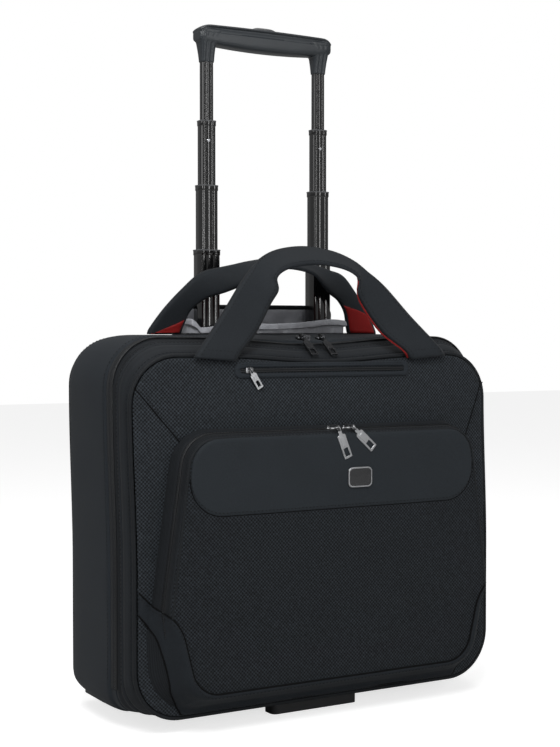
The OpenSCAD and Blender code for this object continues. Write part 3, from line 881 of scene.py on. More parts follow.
def make_pocket():
    back, face = pocket_lines(POCKET_N)
    zip_part = (Y_FRONT - Y_POCKET_ZIP) / (Y_FRONT - Y_POCKET)

    # rear half of the gusset, on the lid
    rows = []
    for part, y, out in ((0, Y_FRONT + 1.5 * MM, 3.0), (0.02, Y_FRONT - 1.5 * MM, 1.6),
                         (0.1, Y_FRONT - 4 * MM, 0.4),
                         (0.3, Y_FRONT - 9 * MM, 0.2), (zip_part - 0.12, Y_POCKET_ZIP + 2.6 * MM, 0.1),
                         (zip_part - 0.06, Y_POCKET_ZIP + 1.6 * MM, -0.9),
                         (zip_part, Y_POCKET_ZIP + 0.3 * MM, -1.0)):
        rows.append(wall_ring(back, face, part, y) + outward(back) * out * MM)
    rear = grid("pocket_gusset_cloth", np.array(rows), [TAPE, LINING], wrap=True, flip=True)
    thicken(rear, 1.6 * MM, inner=1)
    applied(rear)
    declare(rear, "smooth_fabric", "front_lid", "pocket_gusset")

    # front half of the gusset and the face, one cloth
    rows = []
    for part, y, out in ((zip_part, Y_POCKET_ZIP - 0.3 * MM, -1.0),
                         (zip_part + 0.06, Y_POCKET_ZIP - 1.6 * MM, -0.9),
                         (zip_part + 0.12, Y_POCKET_ZIP - 2.6 * MM, 0.1), (0.9, Y_POCKET + 3.4 * MM, 0.2),
                         (0.97, Y_POCKET + 1.6 * MM, 0.0), (0.985, Y_POCKET + 1.1 * MM, -0.9)):
        rows.append(wall_ring(back, face, part, y) + outward(back) * out * MM)
    gusset = grid("pocket_front_gusset", np.array(rows), [TAPE, LINING], wrap=True, flip=True)
    thicken(gusset, 1.6 * MM, inner=1)
    applied(gusset)

    def face_base(x, z):
        bulge = 2.0 * MM * (1 - smooth(abs(x), 60 * MM, 175 * MM)) * smooth(z, 60 * MM, 150 * MM)
        ripple = noise.noise(Vector((x, 0.4, z)) / (55 * MM)) * 0.8 * MM
        return Y_POCKET + 2.2 * MM - bulge * 0.6 - ripple

    # the pocket face wears the darker copy of the weave, which is painted shade
    panel = patch("pocket_panel_cloth", face, 3.6 * MM, [SHADED_POCKET_WEAVE, LINING], face_base, lift=2.2 * MM,
                  roll=5 * MM,
                  skirt=False)
    thicken(panel, 1.8 * MM, inner=1)
    applied(panel)
    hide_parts("pocket_panel", "pocket_base")
    return rear, gusset, panel


def outward(line):
    """the way out of a closed line in X and Z, as directions in space"""
    ahead = np.roll(line, -1, 0) - np.roll(line, 1, 0)
    n = np.stack([ahead[:, 1], -ahead[:, 0]], 1)
    n /= np.linalg.norm(n, axis=1)[:, None]
    middle = line.mean(0)
    if ((line - middle) * n).sum() < 0:
        n = -n
    return np.column_stack([n[:, 0], np.zeros(len(n)), n[:, 1]])


def pocket_extras(panel, gusset):
    """smooth band, plaque, coil and stitching on the pocket"""
    surface = Surface([panel])
    band_line = filleted(scaled([(0, 208, 0), (-166, 208, 34), (-158.6, 281, 29), (158.6, 281, 29),
                                 (166, 208, 34)]),
                         True, 14)
    band = patch("pocket_band", band_line, 3.6 * MM, BAND, surface.at, lift=1.3 * MM, roll=3.5 * MM,
                 sink=1.2 * MM)
    seam_line = resample(filleted(scaled([(-163, 240, 0), (-166, 208, 34), (166, 208, 34), (163, 240, 0)]),
                                  False, 14),
                         200)
    # painted shadow: a dark cord along the band's lower seam
    groove = tube("band_seam", surface.lay(seam_line, 0.0), 0.5 * MM, SEAM_SHADOW, 6)
    sewn = stitches("band_stitch", surface.lay(seam_line + [0, 3 * MM], 1.3 * MM), THREAD)
    edge = resample(filleted(scaled([(-181, 116, 0), (-160.5, 280.5, 29), (160.5, 280.5, 29),
                                     (181, 116, 0)]),
                             False, 14), 300)
    rim = tube("pocket_edge_seam", np.column_stack([edge[:, 0], np.full(len(edge), Y_POCKET + 1.0 * MM),
                                                    edge[:, 1]]),
               1.3 * MM, PIPING, 8)
    blended = [panel, gusset, band, groove, sewn, rim, make_plaque(Surface([panel, band]))]
    back, face = pocket_lines(POCKET_N)
    zip_part = (Y_FRONT - Y_POCKET_ZIP) / (Y_FRONT - Y_POCKET)
    line = wall_ring(back, face, zip_part, Y_POCKET_ZIP) - outward(back) * 0.6 * MM
    out = outward(back)
    ok = line[:, 2] > POCKET_ZIP_END
    start = next(i for i in range(len(line)) if ok[i] and not ok[i - 1])
    order = [(start + k) % len(line) for k in range(int(ok.sum()))]
    coil("pocket_coil_rear", line[order] + [0, 0.1 * MM, 0], out[order], (0, 1, 0), "front_lid",
         width=2.4 * MM)
    front = coil("pocket_coil_front", line[order] - [0, 0.1 * MM, 0], out[order], (0, -1, 0), "pocket",
                 width=2.4 * MM)
    front.parent = None
    blended.append(front)
    for name, part, y, body in (("gusset_stitch_rear", 0.1, Y_FRONT - 4 * MM, "front_lid"),
                                ("gusset_stitch_front", 0.9, Y_POCKET + 4 * MM, None)):
        path = (wall_ring(back, face, part, y) + out * 0.5 * MM)[order]
        obj = stitches(name, path, THREAD, out=out[order])
        if body:
            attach(obj, body)
        else:
            blended.append(obj)
    for obj in blended:
        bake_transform(obj)


WAVE_TOP = [(-214, 150, 0), (-171, 106, 50), (-155, 41, 30), (155, 41, 30), (171, 106, 50), (214, 150, 0)]
WAVE_LOW = [(214, 131, 0), (189, 101, 50), (175, 44, 34), (156, 14, 0), (-156, 14, 0), (-175, 44, 34),
            (-189, 101, 50), (-214, 131, 0)]


def clip_to(line, limit):
    """the line's points pulled in to the outline, where they lie outside it"""
    out = line.copy()
    ok = inside(line, limit)
    for i in np.where(~ok)[0]:
        d = np.linalg.norm(limit - line[i], axis=1)
        out[i] = limit[int(np.argmin(d))]
    return out


def make_wave(objs):
    surface = Surface(objs)
    limit = ring(Y_PIPING, -1.6 * MM, 400)[:, [0, 2]]
    top = resample(filleted(scaled(WAVE_TOP), False, 16), 260)
    low = resample(filleted(scaled(WAVE_LOW), False, 16), 220)
    outline = clip_to(np.vstack([top, low]), limit)
    keep = np.linalg.norm(outline - np.roll(outline, 1, 0), axis=1) > 0.05 * MM
    outline = outline[keep]
    # the trim wears the darker copy of the smooth fabric, which is painted shade
    wave = patch("wave_trim", outline, 3.6 * MM, SHADED_WAVE_CLOTH, surface.at, lift=2.0 * MM, roll=4 * MM,
                 sink=1.5 * MM)
    declare(wave, "smooth_fabric", "front_lid")
    sides = [inside(top, limit), inside(low, limit)]
    # painted shadow: dark cords along the wave trim's edges, where the weave tucks under the trim
    for name, line, ok in (("wave_seam_top", top, sides[0]), ("wave_seam_low", low, sides[1])):
        seam = tube(name, surface.lay(line[ok], 0.5 * MM), 0.9 * MM, SEAM_SHADOW, 6)
        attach(seam, "front_lid")
    laid = Surface([wave])
    sew("wave_stitch", laid.lay(top[sides[0]] - [0, 4 * MM], 0.1 * MM), "front_lid")


def make_seams(panel):
    """diagonal seams at the panel's upper corners"""
    surface = Surface([panel])
    for name, a, b in (("diagonal_seam_left", (-206, 329), (-150, 264)),
                       ("diagonal_seam_right", (197, 329), (172, 262))):
        line = resample(np.array([a, b]) * MM, 60)
        # painted shadow: a dark cord along each diagonal seam
        seam = tube(name, surface.lay(line, -0.1 * MM), 0.7 * MM, SEAM_SHADOW, 6)
        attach(seam, "front_lid")
        sew(name + "_stitch", surface.lay(line + [3.2 * MM, 0], 0.1 * MM), "front_lid")


def make_slip_pocket(panel):
    surface = Surface([panel])
    x0, x1 = slip_low.x - 2 * MM, slip_high.x + 2 * MM
    z0, z1 = slip_low.z - 2.5 * MM, slip_high.z + 2.5 * MM
    outer = box_line(x0, x1, z0, z1, 6 * MM)
    inner = box_line(x0 + 7 * MM, x1 - 7 * MM, z0 + 4.6 * MM, z1 - 4.6 * MM, 2 * MM)
    n = 320
    a, b = resample(outer, n, True), resample(inner, n, True)

    rows = []
    for t, lift in ((0.0, -0.3), (0.04, 0.9), (0.2, 1.5), (0.7, 1.5), (0.95, 1.0), (1.0, 0.0), (1.0, -1.5)):
        rows.append(surface.lay(a + (b - a) * t, lift * MM))
    trim = grid("slip_pocket_trim", np.array(rows), SMOOTH, wrap=True, flip=True)
    declare(trim, "zip_tape", "front_lid", "slip_pocket_zip")
    mid = np.array([(x, (z0 + z1) / 2) for x in np.linspace(x0 + 7 * MM, x1 - 7 * MM, 120)])
    path = surface.lay(mid, 0.0)
    out = np.tile([0, -1.0, 0], (len(path), 1))
    coil("slip_coil_upper", path, out, (0, 0, 1), "front_lid", width=2.2 * MM)
    coil("slip_coil_lower", path, out, (0, 0, -1), "front_lid", width=2.2 * MM)
    for dz in (z0 + 1.6 * MM, z1 - 1.6 * MM):
        line = np.array([(x, dz) for x in np.linspace(x0 + 6 * MM, x1 - 6 * MM, 100)])
        sew("slip_stitch_%d" % round(dz / MM), surface.lay(line, 1.4 * MM), "front_lid")


# ---------------------------------------------------------------- back

def make_back():
    outline = ring(Y_BACK, -7.0 * MM, 300)[:, [0, 2]]

    def base(x, z):
        pillow = 0.8 * MM * (1 - smooth(abs(x), 120 * MM, 200 * MM)) * smooth(z, 20 * MM, 80 * MM)
        return Y_REAR - 2.2 * MM + pillow + noise.noise(Vector((x, 0.9, z)) / (80 * MM)) * 0.6 * MM

    panel = patch("back_panel_cloth", outline, 7 * MM, [WEAVE, LINING], base, lift=1.2 * MM, roll=6 * MM,
                  towards=-1,
                  skirt=False)
    thicken(panel, 2.2 * MM, inner=1)
    applied(panel)
    cut_housings(panel)
    declare(panel, "smooth_fabric", "case", "back_panel")


# ---------------------------------------------------------------- carry handles

def ribbon(name, sections, high, low, material, count=110, edges=(0, 1), span_part=(0, 1), slant=0.0):
    """a strap through sections of (outer edge, inner edge); high and low are its faces' distances from them"""
    half = np.array([np.concatenate([a, b]) for a, b in sections], float) * MM
    other = half[-2::-1].copy()
    other[:, [0, 3]] *= -1
    line = catmull(np.vstack([half, other]), count * 4)
    outer, inner = line[:, :3], line[:, 3:]
    middle = (outer + inner) / 2
    ahead = np.gradient(middle, axis=0)
    out = np.cross(ahead, outer - inner)
    out /= np.linalg.norm(out, axis=1)[:, None]
    first, last = (int(round(p * (len(line) - 1))) for p in span_part)
    pick = np.unique(np.linspace(first, last, max(8,
                                                  int(count * (span_part[1] - span_part[0])))).astype(int))
    across = np.linspace(edges[0], edges[1], 13)
    last_row = len(line) - 1
    part = np.linspace(-1, 1, 13)
    round_off = (1 - np.abs(part) ** 6) ** (1 / 3)
    rows = []
    for i in pick:
        # a slanted end: the rows near the upper end lean towards the strap's outer edge
        near = (i - first) / max(1, last - first)
        near = near if first < last_row / 2 else 1 - near
        shift = (slant * near * last_row * (0.5 - across) * (-1 if first < last_row / 2 else 1)).astype(int)
        at = np.clip(i + shift, 0, last_row)
        base = outer[at] + (inner[at] - outer[at]) * across[:, None]
        up = base + out[at] * (high * round_off)[:, None]
        down = base + out[at] * (low * round_off)[:, None]
        rows.append(np.vstack([up, down[::-1][1:-1]]))
    return grid(name, np.array(rows), material, wrap=True, caps=True), (outer, inner, out)


FRONT_HANDLE = [
    [(-147, -71.5, 356), (-101, -71.5, 352)],
    [(-141, -71.5, 364), (-95, -71.5, 361)],
    [(-112, -60, 396), (-73, -62, 380)],
    [(-86, -50, 427), (-54, -56, 407)],
    [(-69, -42, 443), (-46, -58, 421)],
    [(-54, -35, 454), (-47, -58, 434)],
    [(-32, -29, 463), (-31, -57, 443)],
    [(0, -27, 467), (0, -57, 447)]]
REAR_HANDLE = [
    [(-140, 47, 378), (-101.5, 47, 378)],
    [(-138, 46.4, 384), (-99, 46, 386)],
    [(-124, 42, 404), (-93, 41, 402)],
    [(-106, 37, 424), (-80, 33, 414)],
    [(-87, 32, 441), (-62, 21, 421)],
    [(-66, 28, 447), (-46, 10, 429)],
    [(-34, 27, 453), (-30, 3, 440)],
    [(0, 27, 457), (0, 1, 445)]]


def make_handles():
    """straps with a red lining on the faces that meet in the hand, sewn down at their feet"""
    for name, sections, base, inner_side, lower, upper in (
            ("front_handle", FRONT_HANDLE, "front_lid", -1, (0, -71.5, 355.5), (0, -66, 371)),
            ("rear_handle", REAR_HANDLE, "case", 1, (0, 47, 378.5), (0, 45.5, 391))):
        strap, (outer, inner, out) = ribbon(name + "_cloth", sections, 2.9 * MM, -0.2 * MM, STRAP)
        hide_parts(name + "_strap")
        pieces = [strap]
        face = (2.7 * MM, 3.6 * MM) if inner_side > 0 else (-1.3 * MM, 0.1 * MM)
        if inner_side > 0:
            parts = (("left", (0.004, 0.026)), ("right", (0.895, 0.996)))
        else:
            parts = (("left", (0.004, 0.3)), ("right", (0.66, 0.996)))
        for side, part in parts:
            edges = (0.03, 0.97) if side == "left" or inner_side > 0 else (0.03, 1.05)
            red, _ = ribbon(name + "_red_" + side, sections, face[1], face[0], RED, edges=edges,
                            span_part=part,
                            slant=0.07 if inner_side > 0 else 0.0)
            if side == "left":
                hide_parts(name + "_lining")
            pieces.append(red)
        lift = 2.8 * MM if inner_side < 0 else -0.15 * MM
        for a, label in ((0.12, "outer"), (0.88, "inner")):
            line = outer + (inner - outer) * a + out * lift
            pieces.append(stitches("%s_stitch_%s" % (name, label), line[4:-4], THREAD, lift=0.2 * MM,
                                   out=-inner_side * out[4:-4]))
        if inner_side < 0:
            for side in (-1, 1):
                foot = []
                for t in (0.16, 0.5, 0.84):
                    k = 12 if side < 0 else len(outer) - 13
                    foot.append(outer[k] + (inner[k] - outer[k]) * t + out[k] * lift)
                pieces.append(stitches("%s_foot_stitch_%d" % (name, side + 1), resample(np.array(foot), 12),
                                       THREAD,
                                       out=out[12 if side < 0 else -13]))
        for obj in pieces:
            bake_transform(obj)


# ---------------------------------------------------------------- handle well

def make_well():
    x_half, y0, y1 = WELL_HALF - 2.5 * MM, WELL_FRONT + 0.5 * MM, WELL_BACK - 1.5 * MM
    corners = [(-x_half, y1, 0), (-x_half, y0, 7 * MM), (x_half, y0, 7 * MM), (x_half, y1, 0)]
    path = resample(filleted(corners, False, 8), 150)
    rim = CASE_TOP + np.array([
        12 * MM + 5 * MM * bell(x, 66 * MM, 30 * MM) + 9 * MM * smooth(-x, 84 * MM, 92 * MM)
        + 4 * MM * noise.noise(Vector((x * 22, y * 30, 0.5))) for x, y in path])
    rows = []
    middle = np.array([0, (y0 + y1) / 2])
    steps = [0, 0.2, 0.4, 0.6, 0.74, 0.84, 0.92, 0.97, 1.0]
    for t in steps:
        z = bezel_high.z + 1 * MM + (rim - bezel_high.z) * t
        spread = 1.5 * MM * smooth(t, 0.7, 1.0)
        normal = np.column_stack([np.sign(path[:, 0]) * (np.abs(path[:, 0]) > x_half - 3 * MM),
                                  -(path[:, 1] < y0 + 3 * MM).astype(float)])
        p = path + normal * spread
        p3 = np.column_stack([p, z])
        crumple = wander(p3 * [1, 1, 0.7], 11 * MM, 2.6 * MM * (0.25 + 0.75 * t), 2.0)
        fine = wander(p3, 5 * MM, 1.0 * MM * t, 5.0)
        p3[:, :2] += normal * (crumple + fine)[:, None]
        rows.append(p3)
    top = rows[-1].copy()
    normal = np.column_stack([np.sign(path[:, 0]) * (np.abs(path[:, 0]) > x_half - 3 * MM),
                              -(path[:, 1] < y0 + 3 * MM).astype(float), np.zeros(len(path))])
    rows.append(top + normal * 2.0 * MM + [0, 0, -1.5 * MM])
    rows.append(top + normal * 2.6 * MM + [0, 0, -7 * MM])
    back = grid("well_lining_cloth", np.array(rows), LINING)
    thicken(back, 0.5 * MM, offset=0)
    refine(back, 1)
    applied(back)
    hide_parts("well_lining")
    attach(back, "case")

    band = [(-x_half - 6 * MM, y1, 0), (-x_half - 6 * MM, y0 - 6 * MM, 8 * MM),
            (x_half + 5 * MM, y0 - 6 * MM, 8 * MM),
            (x_half + 6 * MM, y1, 0)]
    path = resample(filleted(band, False, 8), 220)
    rows = []
    for dz, out in ((-5.5, 0.5), (-5.0, 1.6), (-1.5, 1.8), (1.2, 1.4), (1.9, 0.4), (1.2, -0.6), (-4, -0.4)):
        d = path - middle
        d /= np.linalg.norm(d, axis=1)[:, None]
        rows.append(np.column_stack([path + d * out * MM,
                                     np.full(len(path), CASE_TOP + 0.8 * MM + dz * MM)]))
    trim = grid("well_trim", np.array(rows), TAPE)
    thicken(trim, 0.8 * MM, offset=0)
    applied(trim)
    declare(trim, "zip_tape", "case", "well_zip_tape")
    teeth = np.column_stack([path, np.full(len(path), CASE_TOP + 2.8 * MM)])
    coil("well_coil", teeth, np.tile([0, 0, 1.0], (len(teeth), 1)), (0, 0, 1), "case", width=1.0 * MM,
         height=1.2 * MM)


def make_flap():
    """the cover of the handle well, standing open behind the tubes"""
    hinge_z = CASE_TOP + 2 * MM
    lean_c, lean_s = math.cos(COVER_LEAN), math.sin(COVER_LEAN)
    half, tall = WELL_HALF, COVER_TALL
    outline = filleted([(-half, -4 * MM, 0), (-half, tall, 9 * MM), (half, tall, 9 * MM),
                        (half, -4 * MM, 0)], True, 8)

    def stand(p):
        q = np.array(p, float)
        wave = 0.9 * MM * np.sin(q[:, 0] / (38 * MM)) * smooth(q[:, 2], 0, tall)
        y, z = q[:, 1] + wave, q[:, 2]
        q[:, 1] = COVER_HINGE_Y + y * lean_c - z * lean_s
        q[:, 2] = hinge_z + y * lean_s + z * lean_c
        return q

    def crumple(x, z):
        return -1.2 * MM + noise.noise(Vector((x, z, 0.1)) / (13 * MM)) * 1.6 * MM

    cloth = patch("well_cover_cloth", outline, 5 * MM, SMOOTH, lambda x, z: 0.0, lift=0.9 * MM, roll=3 * MM,
                  towards=-1, skirt=False)
    lining_line = filleted([(-half + 2 * MM, -3 * MM, 0), (-half + 2 * MM, tall - 3 * MM, 7 * MM),
                            (half - 2 * MM, tall - 3 * MM, 7 * MM), (half - 2 * MM, -3 * MM, 0)], True, 8)
    lining = patch("well_cover_satin", lining_line, 3.5 * MM, LINING, crumple, lift=0.6 * MM, roll=3 * MM,
                   skirt=False)
    rim = span(resample(outline, 220, True), lambda p: p[1] > 0)
    edge = tube("well_cover_binding", np.column_stack([rim[:, 0], np.zeros(len(rim)), rim[:, 1]]), 1.7 * MM,
                PIPING, 8)
    for obj, thick in ((cloth, 1.0), (lining, 0.4), (edge, 0)):
        co = np.array([v.co for v in obj.data.vertices])
        for v, p in zip(obj.data.vertices, stand(co)):
            v.co = p
        if thick:
            thicken(obj, thick * MM, offset=0)
            applied(obj)
    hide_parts("well_cover_flap")
    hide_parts("well_cover_lining")
    for obj in (cloth, lining, edge):
        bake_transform(obj)


# ---------------------------------------------------------------- trolley

TUBE_SIZE = [(13, 9), (16.5, 12), (20, 14.5), (23.5, 17)]
TUBE_NODES = ["stage_1_tubes", "stage_2_tubes", "stage_3_tubes", "stage_4_tubes"]
COLLAR_NODES = [None, "stage_2_collars", "stage_3_collars", "stage_4_collars"]
TUBE_BODIES = ["grip", "stage_2", "stage_3", "stage_4"]


def fluted(w, d, grow=0.0, groove=0.5):
    """a tube's outline seen from above: round corners and, on its front and back, three gently rounded lands
    with grooves between them"""
    w, d = w / 2 + grow, d / 2 + grow
    corner = 1.8
    edges = [-w + corner, -0.36 * w, 0.30 * w, w - corner]
    line = []
    for a, b in zip(edges[:-1], edges[1:]):
        for t in np.linspace(-1, 1, 9):
            x = (a + b) / 2 + t * (b - a) / 2 * (1 - 0.10 / (b - a))
            line.append((x, -d + 0.45 * t * t))
        if b < edges[-1]:
            line.append((b, -d + 0.45 + groove))
    for t in np.linspace(0, 90, 8)[1:]:
        c, q = math.cos(math.radians(90 - t)), math.sin(math.radians(90 - t))
        line.append((w - corner + corner * c, -d + 0.45 + corner - corner * q))
    front = np.array(line)
    side = np.array([(w, t * (d - 0.45 - corner)) for t in np.linspace(-1, 1, 5)[1:-1]])
    half = np.vstack([front, side])
    return np.vstack([half, -half]) * MM


def tube_pair(name, outline, rows, material):
    """two closed bodies standing on an outline: rows are (height, how far the outline shrinks)"""
    size = np.abs(outline).max(0)
    parts = []
    for side in (-1, 1):
        rings = []
        for z, shrink in rows:
            xy = outline * (1 - shrink / size)
            rings.append(np.column_stack([xy[:, 0] + side * TUBE_X, xy[:, 1] + Y_TUBE, np.full(len(xy), z)]))
        rings.append(rings[0])
        obj = grid("%s_%d" % (name, side + 1), np.array(rings), material, wrap=True,
                   flip=rows[1][0] < rows[0][0])
        parts.append(obj)
    pair = joined(name, parts)
    m = pair.modifiers.new("edges", "EDGE_SPLIT")
    m.split_angle = math.radians(42)
    return applied(pair)


def make_trolley():
    for k, (w, d) in enumerate(TUBE_SIZE):
        low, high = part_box(TUBE_NODES[k])
        outline = fluted(w, d)
        wall = 1.0 * MM
        z0, z1 = low.z, high.z
        rows = [(z0, 0), (z0 + 0.2 * MM, 0), (z1, 0), (z1, wall), (z0, wall)]
        obj = tube_pair("stage_%d_tube_pair" % (k + 1), outline, rows, TUBE)
        declare(obj, "black_tube", TUBE_BODIES[k], TUBE_NODES[k])
        if COLLAR_NODES[k]:
            low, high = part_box(COLLAR_NODES[k])
            ring_line = fluted(w, d, 0.5, 0.2)
            inner = 1.7 * MM
            dark = [(low.z, inner), (low.z, 0.4 * MM), (low.z + 0.6 * MM, 0.1 * MM),
                    (high.z - 1.5 * MM, 0.1 * MM), (high.z - 1.4 * MM, inner)]
            # the collar's light top band: painted highlight along its top edge
            light = [(high.z - 1.4 * MM, inner), (high.z - 1.4 * MM, 0), (high.z - 1.1 * MM, -0.15 * MM),
                     (high.z - 0.4 * MM, -0.15 * MM), (high.z, 0.4 * MM), (high.z, inner)]
            a = tube_pair("collar_%d_sleeve" % (k + 1), ring_line, dark, TUBE)
            b = tube_pair("collar_%d_cap" % (k + 1), ring_line, light, COLLAR_EDGE_HIGHLIGHT)
            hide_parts(COLLAR_NODES[k])
            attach(a, TUBE_BODIES[k])
            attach(b, TUBE_BODIES[k])
    dots = []
    low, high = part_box("lock_pins")
    z = (low.z + high.z) / 2
    for side in (-1, 1):
        dots.append(lathe("pin%d" % side, [(0, 0.12), (0.9, 0.1), (1.6, 0.0), (2.0, -0.3), (2.0, -1.2)],
                          (side * TUBE_X - 0.2 * MM, Y_TUBE - 6 * MM, z), (0, -1, 0), STEEL, 24))
    pins = joined("snap_pins", dots)
    declare(pins, "steel", "stage_2", "lock_pins")


def lathe(name, profile, place, axis, material, sides=48):
    """a turned body: profile is (radius, distance along the axis) in millimetres"""
    axis = Vector(axis).normalized()
    side = axis.orthogonal().normalized()
    up = axis.cross(side)
    turn = np.linspace(0, 2 * np.pi, sides, endpoint=False)
    rings = []
    for r, h in profile:
        c = np.array(place) + np.array(axis) * h * MM
        rings.append([c + max(r, 0.01) * MM * (math.cos(t) * np.array(side) + math.sin(t) * np.array(up))
                      for t in turn])
    return grid(name, np.array(rings), material, wrap=True, caps=True, flip=True)


def superellipse(w, d, power, n=40):
    t = np.linspace(0, 2 * np.pi, n, endpoint=False)
    c, s = np.cos(t), np.sin(t)
    return np.column_stack([w * np.sign(c) * np.abs(c) ** (2 / power),
                            d * np.sign(s) * np.abs(s) ** (2 / power)])


GRIP_DROP = 6 * MM              # the moulding's soft edges sit lower than the plain solids


def make_grip():
    """the bar and its two brackets, blended into one moulding and then parted into two shells"""
    parts = []
    half = top_high.x - 0.6 * MM
    crest = top_high.z - GRIP_DROP
    xs = np.concatenate([[-half, -half + 0.6 * MM, -half + 2 * MM],
                         np.linspace(-half + 5 * MM, half - 5 * MM, 40),
                         [half - 2 * MM, half - 0.6 * MM, half]])
    deep = (top_high.y - top_low.y) / 2
    for lip, name in ((0.0, "bar"), (1.0, "lip")):
        rows = []
        for x in xs:
            part = abs(x) / half
            end = max(0.0, (abs(x) - (half - 12 * MM)) / (12 * MM))
            crown = 1.0 * MM * (1 - part ** 2)
            top = crest - 1.0 * MM + crown - 4.5 * MM * end ** 2.4
            if lip:
                bottom = top - 4.0 * MM
                loop = superellipse(deep * (1 - 0.2 * end ** 3), (top - bottom) / 2, 2.6)
            else:
                top -= 1.2 * MM
                bottom = crest - 19.5 * MM - 4.0 * MM * (1 - part ** 2) + 2.0 * MM * end ** 2
                loop = superellipse((deep - 1.3 * MM) * (1 - 0.2 * end ** 3), (top - bottom) / 2, 3.4)
            rows.append(np.column_stack([np.full(len(loop), x), loop[:, 0] + Y_TUBE,
                                         loop[:, 1] + (top + bottom) / 2]))
        parts.append(grid(name, np.array(rows), GRIP, wrap=True, caps=True, flip=True))
    for side in (-1, 1):
        rows = []
        low, high = grip_low.z, crest - 6 * MM
        for z in np.linspace(low, high, 26):
            t = (z - low) / (high - low)
            outer = TUBE_X + 7.4 * MM + (half - TUBE_X - 7.4 * MM) * t ** 1.5
            inner = TUBE_X - 7.4 * MM - 2.2 * MM * t ** 1.5 - 9 * MM * max(0, (t - 0.42) / 0.58) ** 2.6
            across = 5.4 * MM + (deep - 6.4 * MM) * min(1, t * 1.25) ** 1.2
            loop = superellipse((outer - inner) / 2, across, 4.2, 72)
            # two shallow flutes down the front and the back
            flute = sum(np.exp(-((loop[:, 0] - c) / (1.1 * MM)) ** 2) for c in (-2.6 * MM, 2.8 * MM))
            loop[:, 1] -= np.sign(loop[:, 1]) * 0.9 * MM * flute * (np.abs(loop[:, 1]) > across * 0.7)
            rows.append(np.column_stack([side * (loop[:, 0] + (outer + inner) / 2), loop[:, 1] + Y_TUBE,
                                         np.full(len(loop), z)]))
        parts.append(grid("bracket%d" % side, np.array(rows), GRIP, wrap=True, caps=True, flip=side < 0))
    body = joined("grip_body", parts)
    m = body.modifiers.new("one", "REMESH")
    m.mode, m.voxel_size = "VOXEL", 0.8 * MM
    applied(body)
    m = body.modifiers.new("soft", "SMOOTH")
    m.factor, m.iterations = 0.5, 3
    applied(body)
    body.data.polygons.foreach_set("use_smooth", [True] * len(body.data.polygons))
    body.data.materials.clear()
    body.data.materials.append(GRIP)
    seam_z = top_low.z - GRIP_DROP
    other = body.copy()
    other.data = body.data.copy()
    bpy.context.scene.collection.objects.link(other)
    other.name = "grip_upper_shell"
    body.name = "grip_lower_shell"
    for obj, keep_low in ((body, True), (other, False)):
        bm = bmesh.new()
        bm.from_mesh(obj.data)
        bmesh.ops.bisect_plane(bm, geom=bm.verts[:] + bm.edges[:] + bm.faces[:], plane_co=(0, 0, seam_z),
                               plane_no=(0, 0, 1), clear_outer=keep_low, clear_inner=not keep_low)
        bmesh.ops.holes_fill(bm, edges=[e for e in bm.edges if e.is_boundary], sides=0)
        bm.to_mesh(obj.data)
        bm.free()
    for obj, node in ((body, "grip_lower"), (other, "grip_upper")):
        declare(obj, "grip_plastic", "grip", node)
    b_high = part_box("push_button")[1]
    rows = []
    for t in np.linspace(0, 1, 12):
        angle = t * math.pi / 2
        w = (b_high.x - 0.3 * MM) * (0.35 + 0.65 * math.cos(angle)) if t < 1 else 0.2 * MM
        d = 5.8 * MM * math.cos(angle) + 0.1 * MM
        z = crest - 1.5 * MM + (b_high.z - top_high.z + 1.5 * MM) * math.sin(angle)
        loop = superellipse(w, d, 2.6, 32)
        rows.append(np.column_stack([loop[:, 0], loop[:, 1] + Y_TUBE, np.full(len(loop), z)]))
    rows.insert(0, rows[0] - [0, 0, 2 * MM])
    dome = grid("button_dome", np.array(rows), BUTTON, wrap=True, caps=True)
    declare(dome, "button_plastic", "button", "push_button")


# ---------------------------------------------------------------- zip sliders and pulls

def plate(name, outer, holes, thickness, edge, material):
    """a flat plate with holes, drawn in X and Z and thick along Y, with rounded edges"""
    curve = bpy.data.curves.new(name, "CURVE")
    curve.dimensions, curve.fill_mode = "2D", "BOTH"
    curve.extrude, curve.bevel_depth, curve.bevel_resolution = thickness / 2 - edge, edge, 2
    for line in [outer] + holes:
        spline = curve.splines.new("POLY")
        spline.points.add(len(line) - 1)
        for point, (x, z) in zip(spline.points, line):
            point.co = (x, z, 0, 1)
        spline.use_cyclic_u = True
    obj = bpy.data.objects.new(name + "_curve", curve)
    bpy.context.scene.collection.objects.link(obj)
    mesh = bpy.data.meshes.new_from_object(obj.evaluated_get(bpy.context.evaluated_depsgraph_get()))
    bpy.data.objects.remove(obj)
    made = bpy.data.objects.new(name, mesh)
    bpy.context.scene.collection.objects.link(made)
    mesh.materials.clear()
    mesh.materials.append(material)
    mesh.transform(Matrix.Rotation(math.radians(90), 4, "X"))
    mesh.polygons.foreach_set("use_smooth", [False] * len(mesh.polygons))
    return made


def turned(obj, place, turn):
    """turns a piece's mesh by angles in degrees and moves it to its place"""
    spin = Euler([math.radians(a) for a in turn]).to_matrix().to_4x4()
    obj.data.transform(Matrix.Translation(place) @ spin)


def rounded(corners, radius):
    """a closed outline in metres from millimetre corners, every corner rounded alike"""
    return filleted([(x * MM, z * MM, radius * MM) for x, z in corners], True, 6)


EYE_RADIUS = 2.7 * MM           # the ring of a pull round its pin


